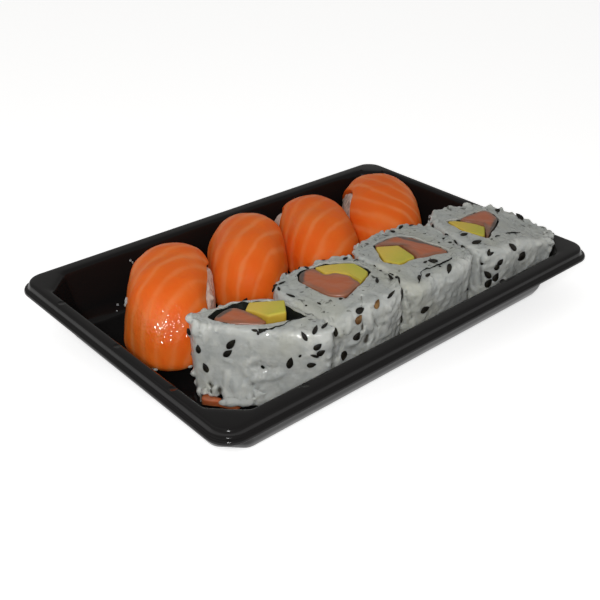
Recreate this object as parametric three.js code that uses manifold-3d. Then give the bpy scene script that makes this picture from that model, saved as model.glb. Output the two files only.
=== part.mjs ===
// A takeaway sushi tray: a black thermoformed plastic tray that holds four salmon nigiri
// in its far row and four rice-outside rolls, stood on their cut ends, in its near row.
// Millimetres, +Z up, X along the long side, Y along the short side towards the nigiri,
// origin at the centre of the tray's underside.
import * as THREE from 'three';
import { mergeVertices } from 'three/addons/utils/BufferGeometryUtils.js';
import Module from 'manifold-3d';

const wasm = await Module();
wasm.setup();

// ---------------------------------------------------------------- driving dimensions

const TRAY = { length: 185, width: 124.5, height: 22, wall: 0.7 };
const GAP = 0.35; // between pieces that touch
const FLOOR = TRAY.wall; // top of the tray's floor
const STAND = FLOOR + GAP; // where the food's underside starts

// Nigiri: middle of the piece, heading of its long axis from +Y towards +X in degrees,
// half length, half width, top height, and how far the slice wraps down from the crown
// (polar angle in degrees) at its near end, right side, far end and left side.
const NIGIRI = [
  { at: [-53, 20.2], heading: 35.5, half: [30.5, 16.6], top: 33, wrap: [122, 52, 104, 108] },
  { at: [-11.5, 27.2], heading: 36.5, half: [28, 15.4], top: 31.2, wrap: [116, 106, 104, 98] },
  { at: [23.8, 25.2], heading: 30, half: [29, 15.4], top: 30.2, wrap: [116, 106, 104, 60] },
  { at: [61.4, 25.2], heading: 34.5, half: [29, 17.2], top: 29.8, wrap: [116, 106, 104, 50] },
];
const SLICE = { thickness: 4.2, edge: 1.8 }; // "edge" is how much thinner it gets there

// Rolls: outlines seen from above, anticlockwise. "wrap" is the hole that the seaweed
// lines, "tail" the line of its overlapping end where that shows in the rice, and "sag" a
// shoulder that lies lower, where the roll has one.
const ROLL_HEIGHT = 30;
const ROLLS = [
  {
    middle: [-50, -28],
    outline: [[-70, -16], [-66.5, -21.5], [-59.5, -31], [-50, -41.5], [-41, -48.6],
      [-36.4, -48], [-35.2, -38], [-36, -27], [-38.5, -19], [-47, -13.6], [-57, -11.2],
      [-66.5, -9.8]],
    wrap: [[-63, -16.8], [-60.5, -22.6], [-52.5, -30.8], [-44, -34.6], [-40.2, -33],
      [-38.8, -25.5], [-46.5, -15.6], [-53, -14.4]],
    salmon: [[-61.2, -18], [-59.6, -22], [-52, -29.6], [-50.2, -28.6], [-50.8, -20.8],
      [-54.5, -18.4]],
    avocado: [[-49.2, -28.6], [-43.6, -32.6], [-40.2, -25], [-46.6, -17.2], [-50.2, -20.4]],
    tail: [[-38.6, -36.4], [-44, -36.6], [-49, -35.6], [-53.4, -33.6]],
    sag: null,
  },
  {
    middle: [-15.5, -28],
    outline: [[-37, -22], [-35.6, -32], [-32.4, -41], [-24.5, -45], [-13, -46.4],
      [-5, -46.2], [0.6, -44], [3.6, -36], [4.4, -27], [3.2, -17.5], [-1.6, -11.4],
      [-13, -9.8], [-25, -9.6], [-33.4, -13.4]],
    wrap: [[-25, -17], [-24.8, -27.5], [-21.2, -34.6], [-15, -34.6], [-7.5, -31.4],
      [-0.6, -28], [1.6, -24.2], [-0.8, -18.6], [-7.6, -12.6], [-17, -11.2]],
    salmon: [[-23.8, -17.6], [-23.4, -27], [-20.4, -33], [-15.4, -33], [-8.8, -30.2],
      [-9.8, -24.4], [-13.6, -17.6], [-14.6, -13.6], [-17, -12.4]],
    avocado: [[-13.6, -13.2], [-8.2, -13.6], [-1.8, -19.2], [-1.6, -26.8], [-8, -29.8],
      [-8.8, -24.2], [-12.4, -17.4]],
    tail: null,
    sag: { at: [-33, -43], reach: 11, depth: 3.5 },
  },
  {
    middle: [22, -27],
    outline: [[3, -18], [3.4, -30], [1.6, -40], [5.6, -45.6], [16, -46.8], [28, -46.8],
      [37, -45.4], [40.4, -37], [44, -25.5], [44.4, -15.5], [39, -9.6], [30, -8.8],
      [20, -8], [10, -9.8]],
    wrap: [[14.4, -15.4], [8.8, -24], [10.2, -31.6], [15.4, -33.6], [22, -36.4],
      [31.2, -38], [34.2, -32], [33.8, -24], [30.6, -15.8], [23.6, -13.2]],
    salmon: [[16.4, -15.6], [22.4, -19.8], [20.8, -31.6], [22.6, -35], [31, -36.6],
      [33, -31.8], [32.6, -24.2], [30, -16.8], [23.8, -14.6]],
    avocado: [[15.2, -16.6], [10.2, -24.2], [11.4, -30.6], [15.6, -32.2], [19.4, -31],
      [21, -20.6]],
    tail: [[31, -40.8], [24, -41.2], [17, -41.8], [11.4, -41.2]],
    sag: { at: [8, -46], reach: 9, depth: 1.5 },
  },
  {
    middle: [61.5, -29],
    outline: [[43, -28], [41.2, -37], [41.6, -45], [50, -48.4], [62, -49.6], [73, -50.6],
      [81, -50], [85, -44.5], [84.5, -36], [80.4, -24], [73, -14.6], [63, -9.6],
      [54, -9.4], [47.6, -13.8], [45.4, -20]],
    wrap: [[52.2, -16.2], [49, -26], [49.8, -36], [51.4, -40.2], [57.6, -38.2],
      [65.6, -34.6], [71.8, -30.8], [74, -23.4], [70.2, -19], [61.4, -16.6]],
    salmon: [[55.4, -17.8], [61.4, -18], [69.6, -20.2], [72.4, -23.6], [70.6, -29.8],
      [60.6, -34.8], [59.4, -33.2], [62, -30.2]],
    avocado: [[53, -18], [60.6, -30.2], [57.8, -33.4], [52.2, -38.2], [51.2, -35],
      [50.4, -26.4]],
    tail: [[55.4, -42.4], [60, -41.8], [65, -41.4], [70, -40.4]],
    sag: { at: [80, -44], reach: 12, depth: 5 },
  },
];
const SEAWEED = 0.5; // thickness of the seaweed sheet
const BELOW_TOP = { seaweed: 0.4, seaweedEnd: 0.6, salmon: 0.3, avocado: 0.2 };
const EASE = 0.5; // bevel on the filling's edges
const ROLL_COLUMNS = 38; // facets round a roll, about one grain wide
const LINING_COLUMNS = 16; // facets round the seaweed
const FILLING_COLUMNS = 14; // facets round a roll's salmon

// What lies on a roll's rice: half sizes, how deep it is sunk, how many on each roll and how
// far each stays from the neighbouring rolls and from the seaweed.
const GRAIN = { half: [3.1, 1.35, 1.2], sunk: 0.6, count: 6, clear: 4 };
const SEED = { half: [1.5, 0.95, 0.8], sunk: 0.35, count: 15, clear: 3 };
const BUMP = 0.9; // how deep the hollows between grains go

// The piece of salmon that shows under the first roll's near edge.
const SCRAP = {
  outline: [[-70.4, -21], [-66.8, -26.4], [-61, -34.8], [-57.2, -32.2], [-61.5, -24.6],
    [-65.6, -18.6]],
  thickness: 3.8,
};

// ---------------------------------------------------------------- materials

const finish = (color, roughness) => new THREE.MeshStandardMaterial({ color, roughness, metalness: 0 });
const FINISHES = {
  tray: finish(0x1b1b1c, 0.25),
  rice: finish(0xdcdcd2, 0.55),
  salmon: finish(0xe5763a, 0.35),
  filling: finish(0xc98d6c, 0.4),
  avocado: finish(0xc9c055, 0.45),
  seaweed: finish(0x14170f, 0.6),
};

// ---------------------------------------------------------------- solids

// One closed solid through a stack of rings of equal length, each anticlockwise seen
// from above, from the face that looks down to the face that looks up. A ring whose
// points all coincide is a pole.
function loft(rings) {
  const count = rings[0].length;
  const index = [];
  for (let r = 0; r + 1 < rings.length; r++) {
    for (let i = 0; i < count; i++) {
      const a = r * count + i;
      const b = r * count + (i + 1) % count;
      index.push(a, b, b + count, a, b + count, a + count);
    }
  }
  const cap = (ring, first, flip) => {
    if (ring[0].distanceTo(ring[count >> 1]) < 1e-6) return;
    const flat = ring.map((p) => new THREE.Vector2(p.x, p.y));
    for (const [a, b, c] of THREE.ShapeUtils.triangulateShape(flat, [])) {
      index.push(first + a, first + (flip ? c : b), first + (flip ? b : c));
    }
  };
  cap(rings[0], 0, true);
  cap(rings.at(-1), (rings.length - 1) * count, false);
  const geometry = new THREE.BufferGeometry();
  const numbers = rings.flat().flatMap((p) => [p.x, p.y, p.z]);
  geometry.setAttribute('position', new THREE.Float32BufferAttribute(numbers, 3));
  geometry.setIndex(index);
  return solid(geometry);
}

// A geometry as a solid that can be joined and cut.
function solid(geometry) {
  geometry.deleteAttribute('normal');
  geometry.deleteAttribute('uv');
  const merged = mergeVertices(geometry, 1e-5);
  const corners = merged.index.array;
  const triVerts = [];
  for (let t = 0; t < corners.length; t += 3) {
    const [a, b, c] = corners.slice(t, t + 3);
    if (a !== b && b !== c && c !== a) triVerts.push(a, b, c);
  }
  return new wasm.Manifold(new wasm.Mesh({
    numProp: 3,
    vertProperties: new Float32Array(merged.attributes.position.array),
    triVerts: new Uint32Array(triVerts),
  }));
}

// A named mesh from a solid.
function piece(name, body, material) {
  const mesh = body.getMesh();
  const geometry = new THREE.BufferGeometry();
  geometry.setAttribute('position', new THREE.BufferAttribute(mesh.vertProperties, 3));
  geometry.setIndex(new THREE.BufferAttribute(mesh.triVerts, 1));
  geometry.computeVertexNormals();
  const part = new THREE.Mesh(geometry, material);
  part.name = name;
  return part;
}

// Seeded random numbers from 0 to 1.
function dice(seed) {
  let state = seed;
  return () => {
    state = (state * 1664525 + 1013904223) % 4294967296;
    return state / 4294967296;
  };
}

// ---------------------------------------------------------------- plane outlines

const flatPoint = ([x, y]) => new THREE.Vector2(x, y);
const anticlockwise = (outline) =>
  (THREE.ShapeUtils.area(outline) < 0 ? [...outline].reverse() : outline);
const cornered = (points) => anticlockwise(points.map(flatPoint));

// A closed smooth curve through hand-set points, as evenly spaced points.
function smooth(points, count) {
  const stops = points.map(([x, y]) => new THREE.Vector3(x, y, 0));
  const curve = new THREE.CatmullRomCurve3(stops, true, 'centripetal');
  const spaced = curve.getSpacedPoints(count).slice(0, count);
  return anticlockwise(spaced.map((p) => new THREE.Vector2(p.x, p.y)));
}

// An anticlockwise outline moved outwards by a distance (inwards if negative).
function grow(outline, distance) {
  return outline.map((p, i) => {
    const before = outline.at(i - 1);
    const after = outline[(i + 1) % outline.length];
    const along = after.clone().sub(before).normalize();
    return new THREE.Vector2(p.x + along.y * distance, p.y - along.x * distance);
  });
}

const level = (outline, z) => outline.map((p) => new THREE.Vector3(p.x, p.y, z));

// An upright solid over an outline, with its edges eased by a small bevel.
function pillar(outline, low, high, bevel) {
  if (!bevel) return loft([level(outline, low), level(outline, high)]);
  const inner = grow(outline, -bevel);
  return loft([level(inner, low), level(outline, low + bevel), level(outline, high - bevel),
    level(inner, high)]);
}

// A band of a given thickness along an open line.
function ribbon(line, thickness) {
  const bends = 5;
  const stops = line.map(([x, y]) => new THREE.Vector3(x, y, 0));
  const path = new THREE.CatmullRomCurve3(stops).getSpacedPoints(bends);
  const side = path.map((p, i) => {
    const ahead = path[Math.min(i + 1, path.length - 1)];
    const behind = path[Math.max(i - 1, 0)];
    const along = ahead.clone().sub(behind).normalize();
    return new THREE.Vector2(-along.y, along.x).multiplyScalar(thickness / 2);
  });
  const left = path.map((p, i) => new THREE.Vector2(p.x + side[i].x, p.y + side[i].y));
  const right = path.map((p, i) => new THREE.Vector2(p.x - side[i].x, p.y - side[i].y));
  return anticlockwise([...right, ...left.reverse()]);
}

// ---------------------------------------------------------------- tray

// Corner shapes as distances from the square corner along the long and the short side.
const roundCorner = (radius) => [0, 18, 36, 54, 72, 90].map((degrees) => {
  const turn = THREE.MathUtils.degToRad(degrees);
  return [radius * (1 - Math.sin(turn)), radius * (1 - Math.cos(turn))];
});
const cutCorner = (cut, ease = 1.6) => [[cut + ease, 0], [cut + 0.2 * ease, 0.2 * ease],
  [cut - 0.6 * ease, 0.6 * ease], [0.6 * ease, cut - 0.6 * ease],
  [0.2 * ease, cut + 0.2 * ease], [0, cut + ease]];

// One ring of the tray, anticlockwise from its +X +Y corner.
function trayRing(halfX, halfY, z, corner) {
  const back = [...corner].reverse();
  const quarter = (points, sx, sy) => points.map(([dx, dy]) =>
    new THREE.Vector3(sx * (halfX - dx), sy * (halfY - dy), z));
  return [...quarter(back, 1, 1), ...quarter(corner, -1, 1), ...quarter(back, -1, -1),
    ...quarter(corner, 1, -1)];
}

const HALF_X = TRAY.length / 2;
const HALF_Y = TRAY.width / 2;
const RIM_SIDE = 5.6; // from the lip's edge to the opening on the short sides
const RIM_LONG = 7.05; // the same on the long sides
const CUT = 10; // cut corner of the opening
const CUT_LEAN = 0.11; // how much that cut narrows for each millimetre further down
const SLOPE = 0.257; // how far the wall leans out for each millimetre of height
const SHOULDER = TRAY.height - 1.8; // where the wall turns out to the rim
const TURN = 0.8; // how far the wall stays inside the opening's edge there

// The tray's section from its underside round the rim to its floor. A wall step is a height
// and a distance outwards from the wall's inner face. A rim step is a distance inwards from
// the lip's edge, a height and a corner radius.
const SKIN = TRAY.wall + 0.05; // sideways thickness of the leaning wall
const OUTSIDE = [[0, -3.8], [0.5, -1.6], [2.2, 0.1], [5, SKIN], [SHOULDER + 0.4, SKIN]];
const RIM = [[3.3, TRAY.height - TRAY.wall, 6], [2.3, 18.9, 7], [0.2, 17.8, 8.4], [0, 18.2, 8.5],
  [0.3, 19.3, 8.2], [1.5, 19.3, 7.3], [2, 21.4, 6.8], [2.7, TRAY.height, 6.2]];
const INSIDE = [[SHOULDER, 0], [5, 0], [2.8, -0.6], [1.2, -2.2], [FLOOR, -4.2]];

// A ring of the leaning wall at a height, grown outwards by a distance.
function wallRing([z, out]) {
  const lean = (z - SHOULDER) * SLOPE - TURN + out;
  return trayRing(HALF_X - RIM_SIDE + lean, HALF_Y - RIM_LONG + lean, z,
    cutCorner(CUT + CUT_LEAN * (z - TRAY.height)));
}

// A ring round the opening's edge, grown outwards by a distance.
const edgeRing = (z, out, cut) =>
  trayRing(HALF_X - RIM_SIDE + out, HALF_Y - RIM_LONG + out, z, cutCorner(cut));

const rimRing = ([inset, z, radius]) =>
  trayRing(HALF_X - inset, HALF_Y - inset, z, roundCorner(radius));

const makeTray = () => loft([
  ...OUTSIDE.map(wallRing),
  edgeRing(TRAY.height - TRAY.wall, TRAY.wall, CUT),
  ...RIM.map(rimRing),
  edgeRing(TRAY.height, 0.6, CUT - 0.2),
  edgeRing(TRAY.height - 0.5, -0.2, CUT),
  ...INSIDE.map(wallRing),
]);

// The room inside the tray that food may fill: clear of its walls, and above them open and a
// little wider, so that a roll may lean over the rim.
const OVERHANG = 4;
const room = loft([
  ...[...INSIDE].reverse().map(([z, out]) => wallRing([z + GAP, out - GAP])),
  wallRing([TRAY.height + GAP, -GAP]),
  wallRing([TRAY.height + 2, OVERHANG]),
  wallRing([2 * TRAY.height, OVERHANG]),
]);

// ---------------------------------------------------------------- nigiri

const SQUARE_PLAN = 2.35; // 2 is an ellipse, more is fuller
const SQUARE_SIDE = 2.5;
const WAIST = 10; // height of a nigiri's widest level
const UP = new THREE.Vector3(0, 0, 1);

const power = (value, exponent) => Math.sign(value) * Math.abs(value) ** exponent;

// A point on the nigiri's domed form, grown by a distance, by its polar angle down from
// the crown and its turn round the crown from the far end (local +X) to the left (+Y).
function domePoint(nigiri, out, polar, turn) {
  const [a, b] = nigiri.half;
  const spread = Math.abs(Math.sin(polar)) ** (2 / SQUARE_SIDE);
  const rise = power(Math.cos(polar), 2 / SQUARE_SIDE);
  const height = rise > 0 ? nigiri.top - WAIST + out : WAIST - FLOOR + out;
  const local = new THREE.Vector3(
    (a + out) * spread * power(Math.cos(turn), 2 / SQUARE_PLAN),
    (b + out) * spread * power(Math.sin(turn), 2 / SQUARE_PLAN),
    Math.max(WAIST + rise * height, STAND),
  );
  const axisAngle = THREE.MathUtils.degToRad(90 - nigiri.heading);
  return local.applyAxisAngle(UP, axisAngle).add(new THREE.Vector3(...nigiri.at, 0));
}

// How far down the slice reaches at a turn, in radians, between its four stated reaches.
function wrapAngle(nigiri, turn) {
  const [near, right, far, left] = nigiri.wrap;
  const along = Math.cos(turn) > 0 ? far : near;
  const across = Math.sin(turn) > 0 ? left : right;
  const share = Math.cos(turn) ** 2;
  return THREE.MathUtils.degToRad(along * share + across * (1 - share));
}

// The slice draped over the rice: a shell from its crown down to its edge, thinner there.
// "extra" thickens it on both faces and at its edge, for the room it needs. Each step is a
// share of the way down from the crown.
const SLICE_UNDER = [0, 0.3, 0.6, 0.85, 0.985];
const SLICE_OVER = [1, 0.9, 0.75, 0.57, 0.37, 0.18, 0];
const SLICE_COLUMNS = 24;
const SIDE_RADIUS = 20; // what turns a length at the slice's edge into an angle

function sliceSolid(nigiri, extra) {
  const turns = Array.from({ length: SLICE_COLUMNS }, (_, i) => 2 * Math.PI * i / SLICE_COLUMNS);
  const ring = (share, out) => turns.map((turn) =>
    domePoint(nigiri, out, share * (wrapAngle(nigiri, turn) + extra / SIDE_RADIUS), turn));
  const under = (share) => ring(share, SLICE.edge * share ** 4 - SLICE.thickness - extra);
  return loft([...SLICE_UNDER.map(under), ...SLICE_OVER.map((share) => ring(share, extra))]);
}

// The pressed rice under the slice, with hollows between its grains, open to view at the
// sides. Each step is a polar angle down from the crown and how deep the hollows go there.
const RICE_STEPS = [[150, 0], [120, 1], [102, 1.2], [86, 1.2], [70, 1.2], [50, 0.6], [26, 0],
  [0, 0]];
const RICE_COLUMNS = 18;
const RICE_INSET = 0.5; // how far the rice stays inside the slice's outer face

function pressedRice(nigiri, seed) {
  const random = dice(seed);
  const ring = ([degrees, rough]) => Array.from({ length: RICE_COLUMNS }, (_, i) =>
    domePoint(nigiri, -RICE_INSET - rough * random(), THREE.MathUtils.degToRad(degrees),
      2 * Math.PI * i / RICE_COLUMNS));
  return loft(RICE_STEPS.map(ring)).subtract(sliceSolid(nigiri, GAP)).intersect(room);
}

function makeNigiri() {
  const row = new THREE.Group();
  NIGIRI.forEach((nigiri, i) => {
    const slice = sliceSolid(nigiri, 0).intersect(room);
    row.add(piece(`nigiri_${i + 1}_rice`, pressedRice(nigiri, 11 + i), FINISHES.rice));
    row.add(piece(`nigiri_${i + 1}_salmon`, slice, FINISHES.salmon));
  });
  return row;
}

// ---------------------------------------------------------------- rolls

const CUTTER = 2 * ROLL_HEIGHT; // height of the solids that only cut

// Height of a roll's top at a place.
function topHeight(roll, x, y) {
  if (!roll.sag) return ROLL_HEIGHT;
  const away = Math.hypot(x - roll.sag.at[0], y - roll.sag.at[1]) / roll.sag.reach;
  return ROLL_HEIGHT - roll.sag.depth * Math.exp(-away * away);
}

// The rice of a roll before anything is cut from it: an upright body with eased edges,
// whose faces are the size of a grain and lie unevenly deep. Each step up its side is a
// share of its height and an inset.
const ROLL_STEPS = [[0, 1.6], [0.14, 0.4], [0.34, 0], [0.54, 0], [0.74, 0], [0.9, 0.4],
  [0.98, 1.3]];

function riceBody(roll, outline, random) {
  const middle = flatPoint(roll.middle);
  const ring = (share, inset, rough) => grow(outline, -inset).map((p) => {
    const pushed = p.clone().lerp(middle, rough * random() / p.distanceTo(middle));
    const top = topHeight(roll, p.x, p.y);
    return new THREE.Vector3(pushed.x, pushed.y, STAND + share * (top - STAND));
  });
  const crown = (share) => outline.map((p) => {
    const q = p.clone().lerp(middle, 1 - share);
    return new THREE.Vector3(q.x, q.y, topHeight(roll, q.x, q.y) - (share ? BUMP * random() : 0));
  });
  return loft([...ROLL_STEPS.map(([share, inset], i) => ring(share, inset, i ? BUMP : 0)),
    crown(0.8), crown(0)]);
}

// A small lump lying on the rice: a stretched icosahedron at a place on the roll.
function lump(halfSizes, place, outward, spin) {
  const shape = new THREE.IcosahedronGeometry(1, 0);
  shape.scale(...halfSizes);
  shape.rotateZ(spin);
  const facing = new THREE.Quaternion().setFromUnitVectors(UP, outward);
  shape.applyQuaternion(facing);
  shape.translate(place.x, place.y, place.z);
  return solid(shape);
}

// A place on the roll's side or on its upper edge, with the direction that it faces.
const ON_SIDE = 0.72; // share of the grains and seeds that lie on the side
const SIDE_MARGIN = 3; // how far these stay from the roll's ends
const EDGE_WIDTH = 1.6; // how far in the others lie

function surfacePlace(roll, outline, random, sunk) {
  const i = Math.floor(random() * outline.length);
  const place = grow(outline, -sunk)[i];
  const facing = grow(outline, 1)[i].sub(outline[i]);
  const draw = random();
  const top = topHeight(roll, place.x, place.y);
  if (draw < ON_SIDE) {
    const z = THREE.MathUtils.lerp(STAND + SIDE_MARGIN, top - SIDE_MARGIN, draw / ON_SIDE);
    return [new THREE.Vector3(place.x, place.y, z), new THREE.Vector3(facing.x, facing.y, 0)];
  }
  const inward = grow(outline, -sunk - EDGE_WIDTH)[i];
  return [new THREE.Vector3(inward.x, inward.y, top - sunk - EASE),
    new THREE.Vector3(facing.x, facing.y, 1).normalize()];
}

// The holes that a roll's seaweed and filling take in its rice.
function wrapHole(roll) {
  const hole = pillar(smooth(roll.wrap, LINING_COLUMNS), 0, CUTTER, 0);
  if (!roll.tail) return hole;
  return hole.add(pillar(ribbon(roll.tail, SEAWEED + 2 * GAP), 0, CUTTER, 0));
}

// Rice with its lumps: grains and seeds are left off where they would touch what is beside.
function rollRice(roll, number, neighbours) {
  const outline = smooth(roll.outline, ROLL_COLUMNS);
  const random = dice(101 + number);
  let rice = riceBody(roll, outline, random);
  const crowded = [...neighbours.flat(), ...smooth(roll.wrap, LINING_COLUMNS),
    ...(roll.tail ? ribbon(roll.tail, SEAWEED) : [])];
  const add = ({ half, sunk, count, clear }) => {
    for (let made = 0, tries = 0; made < count && tries < 200; tries++) {
      const [place, facing] = surfacePlace(roll, outline, random, sunk);
      const spin = random() * Math.PI;
      if (crowded.some((q) => Math.hypot(q.x - place.x, q.y - place.y) < clear)) continue;
      rice = rice.add(lump(half, place, facing, spin));
      made += 1;
    }
  };
  add(GRAIN);
  add(SEED);
  return rice;
}

function makeRolls(scrap) {
  const row = new THREE.Group();
  const outlines = ROLLS.map((roll) => smooth(roll.outline, ROLL_COLUMNS));
  ROLLS.forEach((roll, i) => {
    const name = `roll_${i + 1}`;
    const neighbours = outlines.filter((_, k) => Math.abs(k - i) === 1);
    const lining = smooth(roll.wrap, LINING_COLUMNS);
    const meat = smooth(roll.salmon, FILLING_COLUMNS);
    const inside = pillar(grow(lining, -2 * GAP - SEAWEED), 0, ROLL_HEIGHT, 0);

    let rice = rollRice(roll, i, neighbours).subtract(wrapHole(roll)).intersect(room);
    if (i > 0) rice = rice.subtract(pillar(grow(outlines[i - 1], GAP), 0, CUTTER, 0));
    if (i === 0) rice = rice.subtract(scrap);

    const loop = pillar(grow(lining, -GAP), STAND, ROLL_HEIGHT - BELOW_TOP.seaweed, 0)
      .subtract(pillar(grow(lining, -GAP - SEAWEED), 0, CUTTER, 0));
    const salmon = pillar(meat, STAND, ROLL_HEIGHT - BELOW_TOP.salmon, EASE).intersect(inside);
    const avocado = pillar(cornered(roll.avocado), STAND, ROLL_HEIGHT - BELOW_TOP.avocado, EASE)
      .intersect(inside)
      .subtract(pillar(grow(meat, GAP), 0, CUTTER, 0));

    row.add(piece(`${name}_rice`, rice, FINISHES.rice));
    row.add(piece(`${name}_seaweed`, loop, FINISHES.seaweed));
    if (roll.tail) {
      const end = pillar(ribbon(roll.tail, SEAWEED), STAND, ROLL_HEIGHT - BELOW_TOP.seaweedEnd, 0);
      row.add(piece(`${name}_seaweed_end`, end, FINISHES.seaweed));
    }
    row.add(piece(`${name}_salmon`, salmon, FINISHES.filling));
    row.add(piece(`${name}_avocado`, avocado, FINISHES.avocado));
  });
  return row;
}

// The loose piece of salmon under the first roll, grown by a distance for its room.
function scrapSolid(out) {
  return pillar(grow(cornered(SCRAP.outline), out), STAND - out, STAND + SCRAP.thickness + out,
    EASE);
}

// ---------------------------------------------------------------- the whole object

const sushiTray = new THREE.Group();
sushiTray.add(piece('tray', makeTray(), FINISHES.tray));
sushiTray.add(makeNigiri());
sushiTray.add(makeRolls(scrapSolid(GAP)));
sushiTray.add(piece('salmon_scrap', scrapSolid(0), FINISHES.filling));

export default sushiTray;
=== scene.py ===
# %% [markdown]
# # A takeaway sushi tray
#
# Four salmon nigiri and four rolls with the rice outside sit in a thin black tray. Nothing
# in it is smooth: rice is hundreds of sticky grains, salmon is wet and striped with fat,
# and the plastic shows every lamp in its rim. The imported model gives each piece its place
# and its true size. The cells below give each piece the surface that the real one has.

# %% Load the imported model
import math

import bpy
import numpy as np
from mathutils import Matrix, Vector, noise
from mathutils.bvhtree import BVHTree
from mathutils.kdtree import KDTree


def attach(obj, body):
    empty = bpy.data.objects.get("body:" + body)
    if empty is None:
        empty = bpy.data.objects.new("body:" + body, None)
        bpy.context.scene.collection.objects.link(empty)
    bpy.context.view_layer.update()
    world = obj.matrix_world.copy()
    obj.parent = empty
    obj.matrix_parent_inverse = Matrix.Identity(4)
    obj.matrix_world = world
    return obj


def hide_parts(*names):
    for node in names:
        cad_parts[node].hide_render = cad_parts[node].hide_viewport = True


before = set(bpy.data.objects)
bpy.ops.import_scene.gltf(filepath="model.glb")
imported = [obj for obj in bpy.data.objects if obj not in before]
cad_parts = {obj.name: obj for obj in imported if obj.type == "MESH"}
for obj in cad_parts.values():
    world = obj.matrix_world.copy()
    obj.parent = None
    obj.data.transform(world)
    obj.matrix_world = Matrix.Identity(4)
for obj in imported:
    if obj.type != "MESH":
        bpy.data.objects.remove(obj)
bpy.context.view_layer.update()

# %% [markdown]
# ## The camera
#
# A camera can be placed by eye, by empties or by numbers. Here the numbers come first,
# because seeds and grains are later put where they show from this one place. The camera
# looks at a point inside the tray from a bearing and a height in degrees, and is rolled a
# little, as a camera held in the hand is.

# %% Camera
TARGET = Vector((-0.0241, -0.0175, 0.022))
DISTANCE = 0.31445
BEARING, HEIGHT, ROLL = (math.radians(degrees) for degrees in (-42.18, 30.09, 0.76))
FOCAL = 894.4  # focal length, in the same units as FRAME_SIDE
FRAME_SIDE = 600
SENSOR = 36.0

towards_eye = Vector((math.sin(BEARING) * math.cos(HEIGHT),
                      -math.cos(BEARING) * math.cos(HEIGHT), math.sin(HEIGHT)))
EYE = TARGET + DISTANCE * towards_eye
level_right = (-towards_eye).cross(Vector((0, 0, 1))).normalized()
level_up = level_right.cross(-towards_eye)
eye_right = level_right * math.cos(ROLL) + level_up * math.sin(ROLL)
eye_up = level_up * math.cos(ROLL) - level_right * math.sin(ROLL)

camera = bpy.data.objects.new("camera", bpy.data.cameras.new("camera"))
bpy.context.scene.collection.objects.link(camera)
camera.data.lens = FOCAL / FRAME_SIDE * SENSOR
camera.data.sensor_width = SENSOR
camera.data.clip_start = 0.01
camera.matrix_world = Matrix.Translation(EYE) @ Matrix(
    (eye_right, eye_up, towards_eye)).transposed().to_4x4()
bpy.context.scene.camera = camera


def sight(x, y):
    """The direction in which the camera sees a place in its 600 by 600 frame."""
    across, down = (x - FRAME_SIDE / 2) / FOCAL, (y - FRAME_SIDE / 2) / FOCAL
    return (eye_right * across - eye_up * down - towards_eye).normalized()


print("eye:", [round(value, 4) for value in EYE], "lens:", round(camera.data.lens, 2))

# %% [markdown]
# ## Floor and light
#
# Wet food needs two kinds of light: a broad soft one that fills the hollows between the
# grains, and a small one near the camera that leaves sparks on what is wet. The broad light
# is a pale sky with a large panel above. The small one is a panel just beside the lens.

# %% Floor and light
def lamp(name, place, aim, size, watts):
    """A square panel of light at a place, turned to face a point."""
    panel = bpy.data.lights.new(name, "AREA")
    panel.size = size
    panel.energy = watts
    holder = bpy.data.objects.new(name, panel)
    bpy.context.scene.collection.objects.link(holder)
    holder.location = place
    holder.rotation_euler = (Vector(aim) - Vector(place)).to_track_quat("-Z", "Y").to_euler()


SKY_COLOUR, SKY_STRENGTH = (1.0, 0.99, 0.97, 1), 0.37
PANEL_PLACE, PANEL_SIZE, PANEL_WATTS = (-0.35, 0.3, 0.9), 0.8, 0.6
FLASH_AWAY, FLASH_SIZE, FLASH_WATTS = 0.33, 0.05, 0.6

sky = bpy.data.worlds.new("pale_sky")
bpy.context.scene.world = sky
sky.use_nodes = True
sky.node_tree.nodes["Background"].inputs["Color"].default_value = SKY_COLOUR
sky.node_tree.nodes["Background"].inputs["Strength"].default_value = SKY_STRENGTH

towards_flash = (towards_eye - 0.04 * eye_right + 0.02 * eye_up).normalized()
lamp("soft_panel", PANEL_PLACE, (0, 0, 0), PANEL_SIZE, PANEL_WATTS)
lamp("flash", TARGET + FLASH_AWAY * towards_flash, TARGET, FLASH_SIZE, FLASH_WATTS)

bpy.context.scene.view_settings.view_transform = "Standard"

FLOOR_HALF = 3.0
floor_mesh = bpy.data.meshes.new("floor")
floor_mesh.from_pydata([(x * FLOOR_HALF, y * FLOOR_HALF, 0)
                        for x, y in ((-1, -1), (1, -1), (1, 1), (-1, 1))], [], [(0, 1, 2, 3)])
floor = bpy.data.objects.new("floor", floor_mesh)
bpy.context.scene.collection.objects.link(floor)

print("lights:", [light.name for light in bpy.data.lights])

# %% [markdown]
# ## Node helpers
#
# A finish is a tree of nodes. Writing each node on three lines hides the idea, so one
# helper adds a node, sets its settings and fills its sockets, either with a value or with
# what another node gives. A number that is the same all over goes straight on the shader.

# %% Node helpers
def add(tree, kind, sockets=None, **settings):
    """A new node: settings are its own properties, sockets its inputs by name or number."""
    made = tree.nodes.new(kind)
    for name, value in settings.items():
        setattr(made, name, value)
    for key, value in (sockets or {}).items():
        if isinstance(value, bpy.types.NodeSocket):
            tree.links.new(value, made.inputs[key])
        else:
            made.inputs[key].default_value = value
    return made


def new_finish(name, **sockets):
    """A material with its principled shader's sockets set, as (material, tree, shader)."""
    made = bpy.data.materials.new(name)
    made.use_nodes = True
    shader = made.node_tree.nodes["Principled BSDF"]
    for key, value in sockets.items():
        shader.inputs[key.replace("_", " ")].default_value = value
    return made, made.node_tree, shader


def cloud(tree, coordinates, scale, detail):
    """Soft noise whose blotches are about 1 / scale metres wide, as a number."""
    return add(tree, "ShaderNodeTexNoise",
               {"Vector": coordinates, "Scale": scale, "Detail": detail}).outputs["Fac"]


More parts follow.
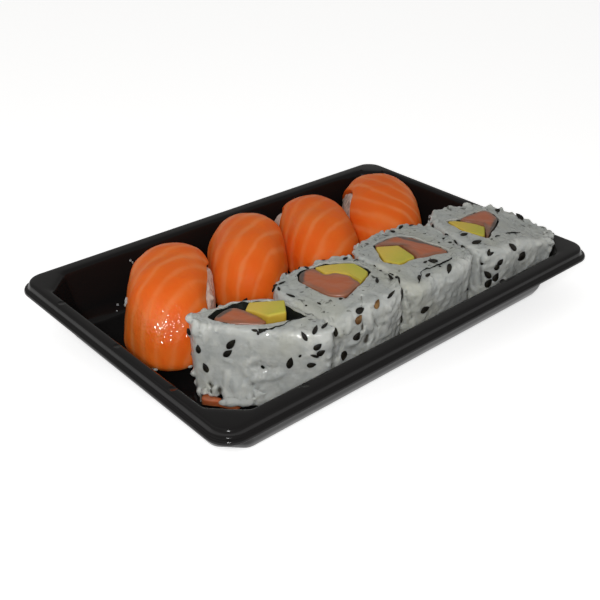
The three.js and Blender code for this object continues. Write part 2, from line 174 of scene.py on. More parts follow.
def between(tree, value, low, high, to_low=0.0, to_high=1.0):
    """A value eased from one range to another."""
    return add(tree, "ShaderNodeMapRange",
               {"Value": value, "From Min": low, "From Max": high, "To Min": to_low,
                "To Max": to_high}, interpolation_type="SMOOTHSTEP").outputs["Result"]


def patches(tree, place, scale, detail, *limits):
    """Clouds with their soft middle cut to some limits, as between cuts a value."""
    return between(tree, cloud(tree, place, scale, detail), *limits)


def blend_colours(tree, share, first, second, how="MIX"):
    """One colour laid over another, or multiplied with it, by a share from 0 to 1."""
    mixed = add(tree, "ShaderNodeMix", {0: share, 6: first, 7: second}, data_type="RGBA",
                blend_type=how)
    return mixed.outputs[2]


def times(tree, first, second):
    return add(tree, "ShaderNodeMath", {0: first, 1: second}, operation="MULTIPLY").outputs[0]


def plus(tree, first, second):
    return add(tree, "ShaderNodeMath", {0: first, 1: second}, operation="ADD").outputs[0]


def relief(tree, shader, height, depth, layer="Normal"):
    """Small relief on a shader or on its coat, its height in units of depth metres."""
    bump = add(tree, "ShaderNodeBump", {"Height": height, "Distance": depth})
    tree.links.new(bump.outputs["Normal"], shader.inputs[layer])


def own_place(tree):
    return add(tree, "ShaderNodeTexCoord").outputs["Object"]


def marked(tree, name):
    """A number that a piece keeps for each of its points."""
    return add(tree, "ShaderNodeAttribute", attribute_name=name).outputs["Fac"]


pale_floor, _, _ = new_finish(
    "pale_floor", Roughness=0.9, Base_Color=(0.93, 0.93, 0.93, 1), Emission_Color=(1, 1, 1, 1),
    Emission_Strength=0.57)
floor.data.materials.append(pale_floor)
print("floor finish:", pale_floor.name)

# %% [markdown]
# ## Outlines
#
# Nothing in the tray has a straight or a round outline, so each is a smooth curve through a
# few given points, in millimetres, the same as the one that its imported solid is cut
# from. A Bezier curve object could hold it. Plain arrays are used, because outlines are
# grown, compared and stacked all the time.

# %% Outlines
MM = 0.001


def unit(vectors):
    return vectors / np.linalg.norm(vectors, axis=-1, keepdims=True)


def closed_curve(points, count, steps=24):
    """Evenly spaced points on a smooth closed curve, anticlockwise, through given points."""
    stops = np.array(points, float)
    before, start, end, after = (np.roll(stops, shift, axis=0) for shift in (1, 0, -1, -2))
    d0, d1, d2 = (np.sqrt(np.linalg.norm(b - a, axis=1))[:, None]
                  for a, b in ((before, start), (start, end), (end, after)))
    leave = ((start - before) / d0 - (end - before) / (d0 + d1) + (end - start) / d1) * d1
    arrive = ((end - start) / d1 - (after - start) / (d1 + d2) + (after - end) / d2) * d1
    t = np.linspace(0, 1, steps, endpoint=False)[:, None, None]
    dense = ((2 * t**3 - 3 * t**2 + 1) * start + (t**3 - 2 * t**2 + t) * leave
             + (3 * t**2 - 2 * t**3) * end + (t**3 - t**2) * arrive)
    return evenly(anticlockwise(dense.transpose(1, 0, 2).reshape(-1, 2)), count)


def anticlockwise(outline):
    x, y = outline[:, 0], outline[:, 1]
    area = np.sum(x * np.roll(y, -1) - np.roll(x, -1) * y)
    return outline if area > 0 else outline[::-1]


def evenly(line, count, shut=True):
    """A line as evenly spaced points, closed unless shut is False."""
    line = np.vstack([line, line[:1]]) if shut else line
    along = np.concatenate([[0], np.cumsum(np.linalg.norm(np.diff(line, axis=0), axis=1))])
    stops = np.linspace(0, along[-1], count, endpoint=not shut)
    return np.stack([np.interp(stops, along, line[:, axis]) for axis in (0, 1)], axis=1)


def facing(outline):
    """Unit directions that point out of a closed outline at each of its points."""
    along = unit(np.roll(outline, -1, axis=0) - np.roll(outline, 1, axis=0))
    return np.stack([along[:, 1], -along[:, 0]], axis=1)


def grow(outline, distance):
    """An outline moved outwards by a distance, or inwards if it is negative."""
    return outline + facing(outline) * distance


def at_level(outline, height):
    return np.column_stack([outline, np.broadcast_to(height, len(outline))])


# %% [markdown]
# ## Lofts
#
# Most pieces are lofts: rings of points stacked and joined by quads. A loft is easy to bend,
# because every point knows its row and its column, and it closes without seams. The places
# are kept in the mesh, so the object itself stays at the origin, unturned.

# %% Lofts
JUST_OFF = 0.001  # a share small enough to stand for a pole


def loft(rings, shut_loop=False):
    """Points and faces of a loft through rings of points of equal length."""
    rings = np.array(rings, float)
    rows, columns = rings.shape[:2]
    faces = []
    for row in range(rows if shut_loop else rows - 1):
        here, there = row * columns, (row + 1) % rows * columns
        for column in range(columns):
            beside = (column + 1) % columns
            faces.append((here + column, here + beside, there + beside, there + column))
    if not shut_loop:
        faces.append(tuple(range(columns))[::-1])
        faces.append(tuple(range((rows - 1) * columns, rows * columns)))
    return rings.reshape(-1, 3), faces


def make_piece(name, points, faces, finish):
    """A smooth object from points in millimetres, with its place in its mesh."""
    mesh = bpy.data.meshes.new(name)
    mesh.from_pydata((np.asarray(points) * MM).tolist(), [], faces)
    mesh.materials.append(finish)
    mesh.polygons.foreach_set("use_smooth", [True] * len(mesh.polygons))
    mesh.update()
    piece = bpy.data.objects.new(name, mesh)
    bpy.context.scene.collection.objects.link(piece)
    return piece


# %% [markdown]
# ## Points as arrays
#
# Food is irregular, so most pieces are bent point by point after they are made. Whole
# arrays of points are read, changed and written at once, which is far quicker than a loop
# over vertices. What a finish should know of a point, such as how wet it is, is written
# beside it as an attribute.

# %% Reading and writing points
def mark(piece, name, values, kind="FLOAT"):
    """One number, or one vector, for each point of a piece, kept as an attribute."""
    attribute = piece.data.attributes.new(name, kind, "POINT")
    field = "value" if kind == "FLOAT" else "vector"
    attribute.data.foreach_set(field, np.asarray(values, np.float32).ravel())


def read(items, field, width=3, kind=np.float32):
    """What a mesh keeps in one field of its points, edges or faces, a row for each."""
    flat = np.zeros(len(items) * width, kind)
    items.foreach_get(field, flat)
    return flat.reshape(-1, width)


def points_of(piece):
    """A piece's points in millimetres."""
    return read(piece.data.vertices, "co").astype(float) / MM


def move_points(piece, points):
    piece.data.vertices.foreach_set("co", (np.asarray(points) * MM).astype(np.float32).ravel())
    piece.data.update()


def normals_of(piece):
    return read(piece.data.vertices, "normal").astype(float)


def ripple(points, size, seed=0.0):
    """Smooth noise from -1 to 1 at each point, with swells about size millimetres wide."""
    return np.array([noise.noise(Vector(point) / size + Vector((seed, 3.1, -seed)))
                     for point in points])


def swells(points, *layers):
    """The sum of several ripples, each given by its height, its width and its seed."""
    return sum(height * ripple(points, width, seed) for height, width, seed in layers)


def hand_over(piece, slot, *nodes):
    """The piece rides on the tray's one body and stands for the CAD nodes it replaces."""
    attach(piece, "root")
    if nodes:
        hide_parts(*nodes)
    print(piece.name, "faces:", len(piece.data.polygons))
    return piece


# %% [markdown]
# ## The tray
#
# The real tray is one sheet of plastic, heated and sucked into a mould, so its wall is the
# same everywhere and every edge is rounded. A loft through rings follows that: under the
# floor, up the outside of the wall, round the rim and its outer lip, and down the inside.
# Outside, the corners are round. The opening's corners are cut straight. A Bevel modifier
# could round the edges, but the rings themselves are rounded here, because then the rounding
# follows the section and stays even through the corners.

# %% Tray outlines
TRAY = {"length": 185, "width": 124.5, "height": 22, "wall": 0.7}
HALF_X, HALF_Y = TRAY["length"] / 2, TRAY["width"] / 2
GAP = 0.35  # between pieces that touch
FLOOR = TRAY["wall"]
STAND = FLOOR + GAP  # where the food's underside starts
RIM_SIDE = 5.6  # from the lip's edge to the opening on the short sides
RIM_LONG = 7.05  # the same on the long sides
CUT = 10  # cut corner of the opening
CUT_LEAN = 0.11  # how much that cut narrows for each millimetre further down
SLOPE = 0.257  # how far the wall leans out for each millimetre of height
SHOULDER = TRAY["height"] - 1.8  # where the wall turns out to the rim
TURN = 0.8  # how far the wall stays inside the opening's edge there
CORNER_POINTS = 12
SIDE_POINTS = 14


def round_corner(radius):
    """A round corner, as distances in from the square corner along the two sides."""
    turn = np.linspace(0, math.pi / 2, CORNER_POINTS)
    return np.stack([radius * (1 - np.sin(turn)), radius * (1 - np.cos(turn))], axis=1)


def cut_corner(cut, ease=2.2):
    """A straight cut with eased ends."""
    t = np.linspace(0, 1, CORNER_POINTS // 2)[:, None]
    first, turning, last = (np.array(p) for p in ((cut + ease, 0), (cut, 0),
                                                  (cut - 0.6 * ease, 0.6 * ease)))
    bend = (1 - t)**2 * first + 2 * t * (1 - t) * turning + t**2 * last
    return np.vstack([bend, bend[::-1, ::-1]])


def tray_ring(half_x, half_y, height, corner):
    """One ring of the tray, anticlockwise from its +X +Y corner."""
    turns = []
    for sign_x, sign_y, order in ((1, 1, -1), (-1, 1, 1), (-1, -1, -1), (1, -1, 1)):
        steps = corner[::order]
        turns.append(np.column_stack([sign_x * (half_x - steps[:, 0]),
                                      sign_y * (half_y - steps[:, 1])]))
    ring = []
    for turn, following in zip(turns, turns[1:] + turns[:1]):
        ring.append(turn)
        share = np.linspace(0, 1, SIDE_POINTS + 2)[1:-1, None]
        ring.append(turn[-1] * (1 - share) + following[0] * share)
    return at_level(np.vstack(ring), height)


def wall_ring(height, out):
    lean = (height - SHOULDER) * SLOPE - TURN + out
    return tray_ring(HALF_X - RIM_SIDE + lean, HALF_Y - RIM_LONG + lean, height,
                     cut_corner(CUT + CUT_LEAN * (height - TRAY["height"])))


def edge_ring(height, out, cut):
    return tray_ring(HALF_X - RIM_SIDE + out, HALF_Y - RIM_LONG + out, height, cut_corner(cut))


def rim_ring(inset, height, radius):
    return tray_ring(HALF_X - inset, HALF_Y - inset, height, round_corner(radius))


# %% [markdown]
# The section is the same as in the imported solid. Each ring in it is a corner of the
# section, and each corner is then rounded: it is swapped for a short curve that starts and
# ends on the way to the rings before and after it.

# %% Tray section
SKIN = TRAY["wall"] + 0.05
UNDER = [(0, -3.8), (0.5, -1.6), (2.2, 0.1), (5, SKIN), (SHOULDER + 0.4, SKIN)]
RIM = [(3.3, 21.3, 6), (2.3, 18.9, 7), (0.2, 17.8, 8.4), (0, 18.2, 8.5), (0.3, 19.3, 8.2),
       (1.5, 19.3, 7.3), (2, 21.4, 6.8), (2.7, 22, 6.2)]
INSIDE = [(SHOULDER, 0), (5, 0), (2.8, -0.6), (1.2, -2.2), (FLOOR, -4.2)]


def rounded(rings, radius, steps=4):
    """Rings with each corner of their section swapped for a short curve."""
    made = [rings[0]]
    for before, ring, after in zip(rings, rings[1:], rings[2:]):
        ends = []
        for beside in (before, after):
            reach = np.linalg.norm(beside - ring, axis=1).min()
            ends.append(ring + (beside - ring) * min(0.48, radius / max(reach, 1e-6)))
        for t in np.linspace(0, 1, steps):
            made.append((1 - t)**2 * ends[0] + 2 * t * (1 - t) * ring + t**2 * ends[1])
    made.append(rings[-1])
    return made


def tray_rings():
    top = TRAY["height"]
    section = [wall_ring(*step) for step in UNDER]
    section.append(edge_ring(top - TRAY["wall"], TRAY["wall"], CUT))
    section += [rim_ring(*step) for step in RIM]
    section.append(edge_ring(top, 0.6, CUT - 0.2))
    section.append(edge_ring(top - 0.5, -0.2, CUT))
    section += [wall_ring(*step) for step in INSIDE]
    return rounded(section, 0.9)


print("tray rings:", len(tray_rings()))

# %% [markdown]
# Black plastic is almost all reflection. Its own colour is nearly nothing, so what makes it
# look real is how evenly it mirrors: thin moulded sheet has slow swells, a faint haze, fine
# scuffs on the rim, and small dimples where the moulds press. The swells and dimples are
# relief in the finish. Their places are distances from named points.

# %% Plastic
RIM_DIMPLES = [(-88.3, 35, 22), (-88.3, -1, 22), (-88.3, -32, 22), (-57, -56.6, 22)]
DIMPLE_RADIUS = 1.5
plastic, tree, shader = new_finish(
    "black_plastic", Base_Color=(0.0075, 0.007, 0.007, 1), Specular_IOR_Level=0.17)
place = own_place(tree)
haze = cloud(tree, place, 60, 4)
scuffs = cloud(tree, add(tree, "ShaderNodeMapping", {"Vector": place,
                                                     "Scale": (1, 6, 3)}).outputs[0], 500, 5)
roughness = plus(tree, between(tree, haze, 0.3, 0.7, 0.1, 0.18),
                 between(tree, scuffs, 0.55, 0.75, 0.0, 0.1))
tree.links.new(roughness, shader.inputs["Roughness"])
height = plus(tree, times(tree, cloud(tree, place, 35, 1), 0.5),
              times(tree, cloud(tree, place, 260, 2), 0.04))
for dimple in RIM_DIMPLES:
    away = add(tree, "ShaderNodeVectorMath",
               {0: place, 1: Vector(dimple) * MM}, operation="DISTANCE").outputs["Value"]
    height = plus(tree, height, between(tree, away, 0.2 * DIMPLE_RADIUS * MM,
                                        DIMPLE_RADIUS * MM, -0.5, 0.0))
relief(tree, shader, height, 0.0009)

# %% Tray
tray = make_piece("tray_shell", *loft(tray_rings()), plastic)
hand_over(tray, "tray", "tray")

# %% [markdown]
# ## Placing by looking
#
# Seeds, loose grains and dents go where a stylist would put them: by looking through the
# camera. A ray from the camera finds the surface behind a spot in its frame. The turn of a
# seed is also given as it looks in the frame, and is laid down on the surface from there.
# What is placed this way still sits on its surface, seen from any side.

# %% Placing by looking
NEAREST, FARTHEST = 0.22, 0.48  # how far away the food is, in metres


def tree_of(piece):
    return BVHTree.FromObject(piece, bpy.context.evaluated_depsgraph_get())


def tree_from(points, faces):
    return BVHTree.FromPolygons((points * MM).tolist(), faces)


def seen_at(trees, x, y):
    """The surface that shows at a spot in the frame, or else the one nearest to its ray."""
    hits = []
    for tree in trees:
        place, outward, _, distance = tree.ray_cast(EYE, sight(x, y))
        if place is not None:
            hits.append((distance, place, outward))
    if not hits:
        for reach in np.linspace(NEAREST, FARTHEST, 90).tolist():
            for tree in trees:
                place, outward, _, gap = tree.find_nearest(EYE + reach * sight(x, y))
                hits.append((gap, place, outward))
    _, place, outward = min(hits, key=lambda hit: hit[0])
    return np.array(place) / MM, np.array(outward)


def lying(outward, x, y, turn):
    """The direction on a surface that looks turned by some degrees in the frame."""
    angle = math.radians(turn)
    wanted = np.array(eye_right * math.cos(angle) + eye_up * math.sin(angle))
    view = np.array(sight(x, y))
    facing_eye = min(view @ outward, -0.25)
    along = wanted - view * (wanted @ outward) / facing_eye
    return unit(along - outward * (along @ outward))


def pebble(place, outward, along, size, rows=9, columns=12):
    """A smooth long grain at a place, its half sizes given along, across and outward."""
    across = np.cross(outward, along)
    turn = np.linspace(0, 2 * math.pi, columns, endpoint=False)
    rings = []
    for share in np.linspace(0.03, 0.97, rows):
        girth = math.sin(math.pi * share)**0.8
        rings.append(place - along * size[0] * math.cos(math.pi * share)
                     + np.outer(np.cos(turn), across) * size[1] * girth
                     + np.outer(np.sin(turn), outward) * size[2] * girth)
    return loft(rings)


def swell_at(points, tree, spots):
    """Moves points outward, or inward, round spots: across, down, radius and amount."""
    moved = points.copy()
    for x, y, radius, amount in spots:
        place, outward = seen_at([tree], x, y)
        near = np.exp(-(np.linalg.norm(points - place, axis=1) / radius)**2)
        moved += np.outer(amount * near, outward)
    return moved


def gather(shapes):
    """Several lofts as one list of points and one of faces."""
    points, faces, count = [], [], 0
    for some_points, some_faces in shapes:
        points.append(some_points)
        faces += [tuple(corner + count for corner in face) for face in some_faces]
        count += len(some_points)
    return np.vstack(points), faces


# %% [markdown]
# ## Cooked rice
#
# Sushi rice is short, sticky and pressed by hand or with a mat, so its grains lie flat in
# the surface and melt into one another. Displacing a smooth body by a texture gives bumps
# but no grains. Here real grains are scattered over a core by Geometry Nodes, laid down on
# it at random turns, joined, and then melted together by a voxel Remesh and a little
# smoothing. What is left is one skin in which each grain can still be told. Two attributes
# of the core steer it: how thickly grains lie, and how far they rise out of the paste.

# %% Geometry tree helpers
def socket_of(group, name):
    """The identifier by which a modifier knows one of its tree's inputs."""
    return next(item.identifier for item in group.interface.items_tree
                if item.item_type == "SOCKET" and item.in_out == "INPUT" and item.name == name)


def settle(piece):
    """Turns what a piece's modifiers make into its plain mesh."""
    bpy.context.view_layer.update()
    evaluated = piece.evaluated_get(bpy.context.evaluated_depsgraph_get())
    made = bpy.data.meshes.new_from_object(evaluated)
    made.polygons.foreach_set("use_smooth", [True] * len(made.polygons))
    piece.modifiers.clear()
    piece.data = made
    return piece


def new_tree(name, inputs):
    """A geometry tree with named inputs, as (tree, its input node, its output node)."""
    group = bpy.data.node_groups.new(name, "GeometryNodeTree")
    group.interface.new_socket("Geometry", in_out="INPUT", socket_type="NodeSocketGeometry")
    group.interface.new_socket("Geometry", in_out="OUTPUT", socket_type="NodeSocketGeometry")
    for label, kind in inputs:
        group.interface.new_socket(label, in_out="INPUT", socket_type="NodeSocket" + kind)
    return group, add(group, "NodeGroupInput"), add(group, "NodeGroupOutput")


def random_float(group, low, high, seed):
    return add(group, "FunctionNodeRandomValue", {2: low, 3: high, "Seed": seed},
               data_type="FLOAT").outputs[1]


def named(group, name, kind="FLOAT"):
    return add(group, "GeometryNodeInputNamedAttribute", {"Name": name},
               data_type=kind).outputs["Attribute"]


# %% Grain scatter
def grain_tree():
    """Grains laid on every face whose points are marked bare."""
    group, given, result = new_tree("grain_coat", [
        ("Spacing", "Float"), ("Half Length", "Float"), ("Half Width", "Float"),
        ("Half Height", "Float"), ("Seed", "Int"), ("Finish", "Material")])
    spots = add(group, "GeometryNodeDistributePointsOnFaces",
                {"Mesh": given.outputs["Geometry"], "Distance Min": given.outputs["Spacing"],
                 "Density Max": 900000.0, "Density Factor": named(group, "bare"),
                 "Seed": given.outputs["Seed"]}, distribute_method="POISSON")
    ball = add(group, "GeometryNodeMeshIcoSphere", {"Radius": 1.0, "Subdivisions": 2})
    sizes = add(group, "ShaderNodeCombineXYZ", {0: given.outputs["Half Length"],
                                                1: given.outputs["Half Width"],
                                                2: given.outputs["Half Height"]})
    grain = add(group, "GeometryNodeTransform",
                {"Geometry": ball.outputs["Mesh"], "Scale": sizes.outputs[0]})
    lean = [random_float(group, -0.2, 0.2, seed) for seed in (3, 4)]
    spin = add(group, "ShaderNodeCombineXYZ",
               {0: lean[0], 1: lean[1], 2: random_float(group, 0, 2 * math.pi, 5)})
    turned = add(group, "FunctionNodeRotateRotation",
                 {"Rotation": spots.outputs["Rotation"], "Rotate By": spin.outputs[0]},
                 rotation_space="LOCAL")
    scale = add(group, "FunctionNodeRandomValue",
                {0: (0.8, 0.85, 0.85), 1: (1.12, 1.15, 1.1), "Seed": 6},
                data_type="FLOAT_VECTOR")
    laid = add(group, "GeometryNodeInstanceOnPoints",
               {"Points": spots.outputs["Points"], "Instance": grain.outputs[0],
                "Rotation": turned.outputs[0], "Scale": scale.outputs[0]})
    uneven = random_float(group, -0.00022, 0.00022, 7)
    lift = add(group, "ShaderNodeCombineXYZ", {2: plus(group, named(group, "lift"), uneven)})
    lifted = add(group, "GeometryNodeTranslateInstances",
                 {"Instances": laid.outputs[0], "Translation": lift.outputs[0]})
    toned = add(group, "GeometryNodeStoreNamedAttribute",
                {"Geometry": lifted.outputs[0], "Name": "tone",
                 "Value": random_float(group, 0, 1, 8)}, data_type="FLOAT", domain="INSTANCE")
    real = add(group, "GeometryNodeRealizeInstances", {"Geometry": toned.outputs[0]})
    joined = add(group, "GeometryNodeJoinGeometry")
    group.links.new(real.outputs[0], joined.inputs[0])
    group.links.new(given.outputs["Geometry"], joined.inputs[0])
    finished = add(group, "GeometryNodeSetMaterial",
                   {"Geometry": joined.outputs[0], "Material": given.outputs["Finish"]})
    group.links.new(finished.outputs[0], result.inputs[0])
    return group


GRAIN_COAT = grain_tree()
GRAIN = {"Half Length": 3.1, "Half Width": 1.45, "Half Height": 1.3, "Spacing": 2.9}
VOXEL = 0.36
print("grain tree nodes:", len(GRAIN_COAT.nodes))

# %% [markdown]
# The core is a body inside the food's outline. The Remesh runs after the scatter, and a few
# rounds of averaging take off the voxels' steps. The new skin has forgotten which grain it
# came from, so every point of it takes the tone of the nearest grain, blurred a little over
# the borders. Where grains meet, the skin lies below its surroundings, and that depth is
# kept too, because the finish paints a thin dark line of shade there.

# %% Melted grains
def blur(piece, values, rounds):
    """Values at a piece's points, each averaged with its neighbours' a few times."""
    if values.ndim == 2:
        return np.stack([blur(piece, column, rounds) for column in values.T], axis=1)
    first, second = read(piece.data.edges, "vertices", 2, np.int32).T
    size = len(values)
    near = np.bincount(first, minlength=size) + np.bincount(second, minlength=size)
    for _ in range(rounds):
        total = (np.bincount(first, values[second], size)
                 + np.bincount(second, values[first], size))
        values = 0.5 * values + 0.5 * total / np.maximum(near, 1)
    return values


def melt_grains(name, body, bare, lift, tone, seed, finish, voxel=VOXEL, rounds=6):
    """A body covered with grains that are melted into it."""
    core = make_piece(name, *body, finish)
    mark(core, "bare", bare)
    mark(core, "lift", np.asarray(lift) * MM)
    mark(core, "tone", tone)
    coat = core.modifiers.new("grains", "NODES")
    coat.node_group = GRAIN_COAT
    values = {label: size * MM for label, size in GRAIN.items()}
    values.update({"Seed": seed, "Finish": finish})
    for label, value in values.items():
        coat[socket_of(GRAIN_COAT, label)] = value
    settle(core)
    tones = read(core.data.attributes["tone"].data, "value", 1)[:, 0]
    known = KDTree(len(tones))
    for number, vertex in enumerate(core.data.vertices):
        known.insert(vertex.co, number)
    known.balance()
    remesh = core.modifiers.new("melt", "REMESH")
    remesh.mode = "VOXEL"
    remesh.voxel_size = voxel * MM
    settle(core)
    core.data.materials.clear()
    core.data.materials.append(finish)
    nearest = [known.find(vertex.co)[1] for vertex in core.data.vertices]
    mark(core, "tone", blur(core, tones[nearest].astype(float), 3))
    move_points(core, blur(core, points_of(core), 2))
    # how far each point lies below its neighbours, kept for painted shade in the creases
    below = blur(core, points_of(core), 4) - points_of(core)
    mark(core, "painted_cleft_shade", (below * normals_of(core)).sum(axis=1))
    move_points(core, blur(core, points_of(core), rounds))
    return core


# %% [markdown]
# Cooked rice is neither white nor opaque. Light goes a millimetre into a grain and comes out
# beside it, the grain's heart is chalkier than its skin, and where the grains are wet they
# are greyer, with a faint yellow or green cast in places. So the finish mixes its greys by
# noise at the size of a grain, scatters light under the skin, and is wet enough to spark.
# A cut face is greyer still, partly because the knife has opened the grains and partly as
# painted shade on a face turned up, and thin lines, creases, cracks and pits between the
# grains are painted dark as shade. Rice that touches salmon takes on some of its colour,
# and has a finish of its own.

# %% Rice finish
def bent_place(tree, place, scale, reach):
    """The place, moved about by noise, so that what is laid on it isn't straight."""
    swirl = add(tree, "ShaderNodeTexNoise", {"Vector": place, "Scale": scale, "Detail": 1.0})
    return add(tree, "ShaderNodeVectorMath",
               {0: swirl.outputs["Color"], 1: (reach, reach, reach), 2: place},
               operation="MULTIPLY_ADD").outputs[0]


def short_lines(tree, coordinates, scale, width):
    """Thin open curves, where a noise crosses its middle value."""
    level = plus(tree, cloud(tree, coordinates, scale, 0), -0.5)
    level = add(tree, "ShaderNodeMath", {0: level}, operation="ABSOLUTE").outputs[0]
    return between(tree, level, 0, width, 1, 0)


def rice_look(name, pale, deep, cast):
    finish, tree, shader = new_finish(
        name, Roughness=0.55, Subsurface_Weight=1.0, Subsurface_Radius=(1.0, 0.96, 0.88),
        Subsurface_Scale=0.0022, Specular_IOR_Level=0.1, Coat_Roughness=0.05, Coat_IOR=1.54)
    place = own_place(tree)
    bent = bent_place(tree, place, 160, 0.006)
    cells = add(tree, "ShaderNodeTexVoronoi", {"Vector": bent, "Scale": 330.0})
    tone = plus(tree, times(tree, marked(tree, "tone"), 0.4),
                plus(tree, times(tree, cells.outputs["Color"], 0.25),
                     times(tree, cloud(tree, place, 90, 2), 0.4)))
    colour = blend_colours(tree, between(tree, tone, 0.28, 0.75), deep, pale)
    tinted = patches(tree, place, 55, 2, 0.48, 0.68, 0, 0.5)
    colour = blend_colours(tree, tinted, colour, cast)
    # painted shade: the cut faces are multiplied greyer, partly for the opened grains
    cut = marked(tree, "cut")
    colour = blend_colours(tree, cut, colour, (0.78, 0.795, 0.79, 1), "MULTIPLY")
    # painted shade: thin dark lines for the gaps between grains, most on the cut faces
    line = times(tree, short_lines(tree, bent, 300, 0.03), patches(tree, place, 190, 1, 0.47, 0.56))
    line = times(tree, line, plus(tree, times(tree, cut, 0.42), 0.1))
    colour = blend_colours(tree, line, colour, (0.22, 0.22, 0.19, 1), "MULTIPLY")
    # painted shade: nearly black pits between the grains on the cut faces
    painted_pit_shade = times(tree, cut, patches(tree, bent, 420, 1, 0.655, 0.72))
    colour = blend_colours(tree, painted_pit_shade, colour, (0.03, 0.03, 0.022, 1))
    # painted shade: the creases where grains meet and the pressed cracks are darkened in the colour
    for field, low, high, most, dark in (("painted_cleft_shade", 0.02, 0.11, 0.8, (0.12, 0.115, 0.09, 1)),
                                         ("painted_crack_shade", 0.3, 0.9, 0.9, (0.045, 0.035, 0.022, 1))):
        share = between(tree, marked(tree, field), low, high, 0, most)
        colour = blend_colours(tree, share, colour, dark)
    tree.links.new(colour, shader.inputs["Base Color"])
    wet = patches(tree, place, 330, 1, 0.46, 0.58)
    tree.links.new(wet, shader.inputs["Coat Weight"])
    relief(tree, shader, cloud(tree, place, 900, 2), 0.00006)
    relief(tree, shader, cloud(tree, place, 800, 0), 0.0006, "Coat Normal")
    return finish


rice_finish = rice_look("cooked_rice", (0.535, 0.545, 0.515, 1), (0.42, 0.435, 0.42, 1),
                        (0.475, 0.475, 0.4, 1))
stained_finish = rice_look("rice_by_salmon", (0.7, 0.53, 0.45, 1), (0.62, 0.46, 0.39, 1),
                           (0.66, 0.49, 0.41, 1))
print("rice finish nodes:", len(rice_finish.node_tree.nodes))

# %% [markdown]
# ## The rolls
#
# A roll is rice outside, a sheet of seaweed inside it, and salmon and avocado in the
# middle, cut across and stood on its end. Each roll has been squeezed into a shape of its
# own, so each has its own outlines, seen from above.

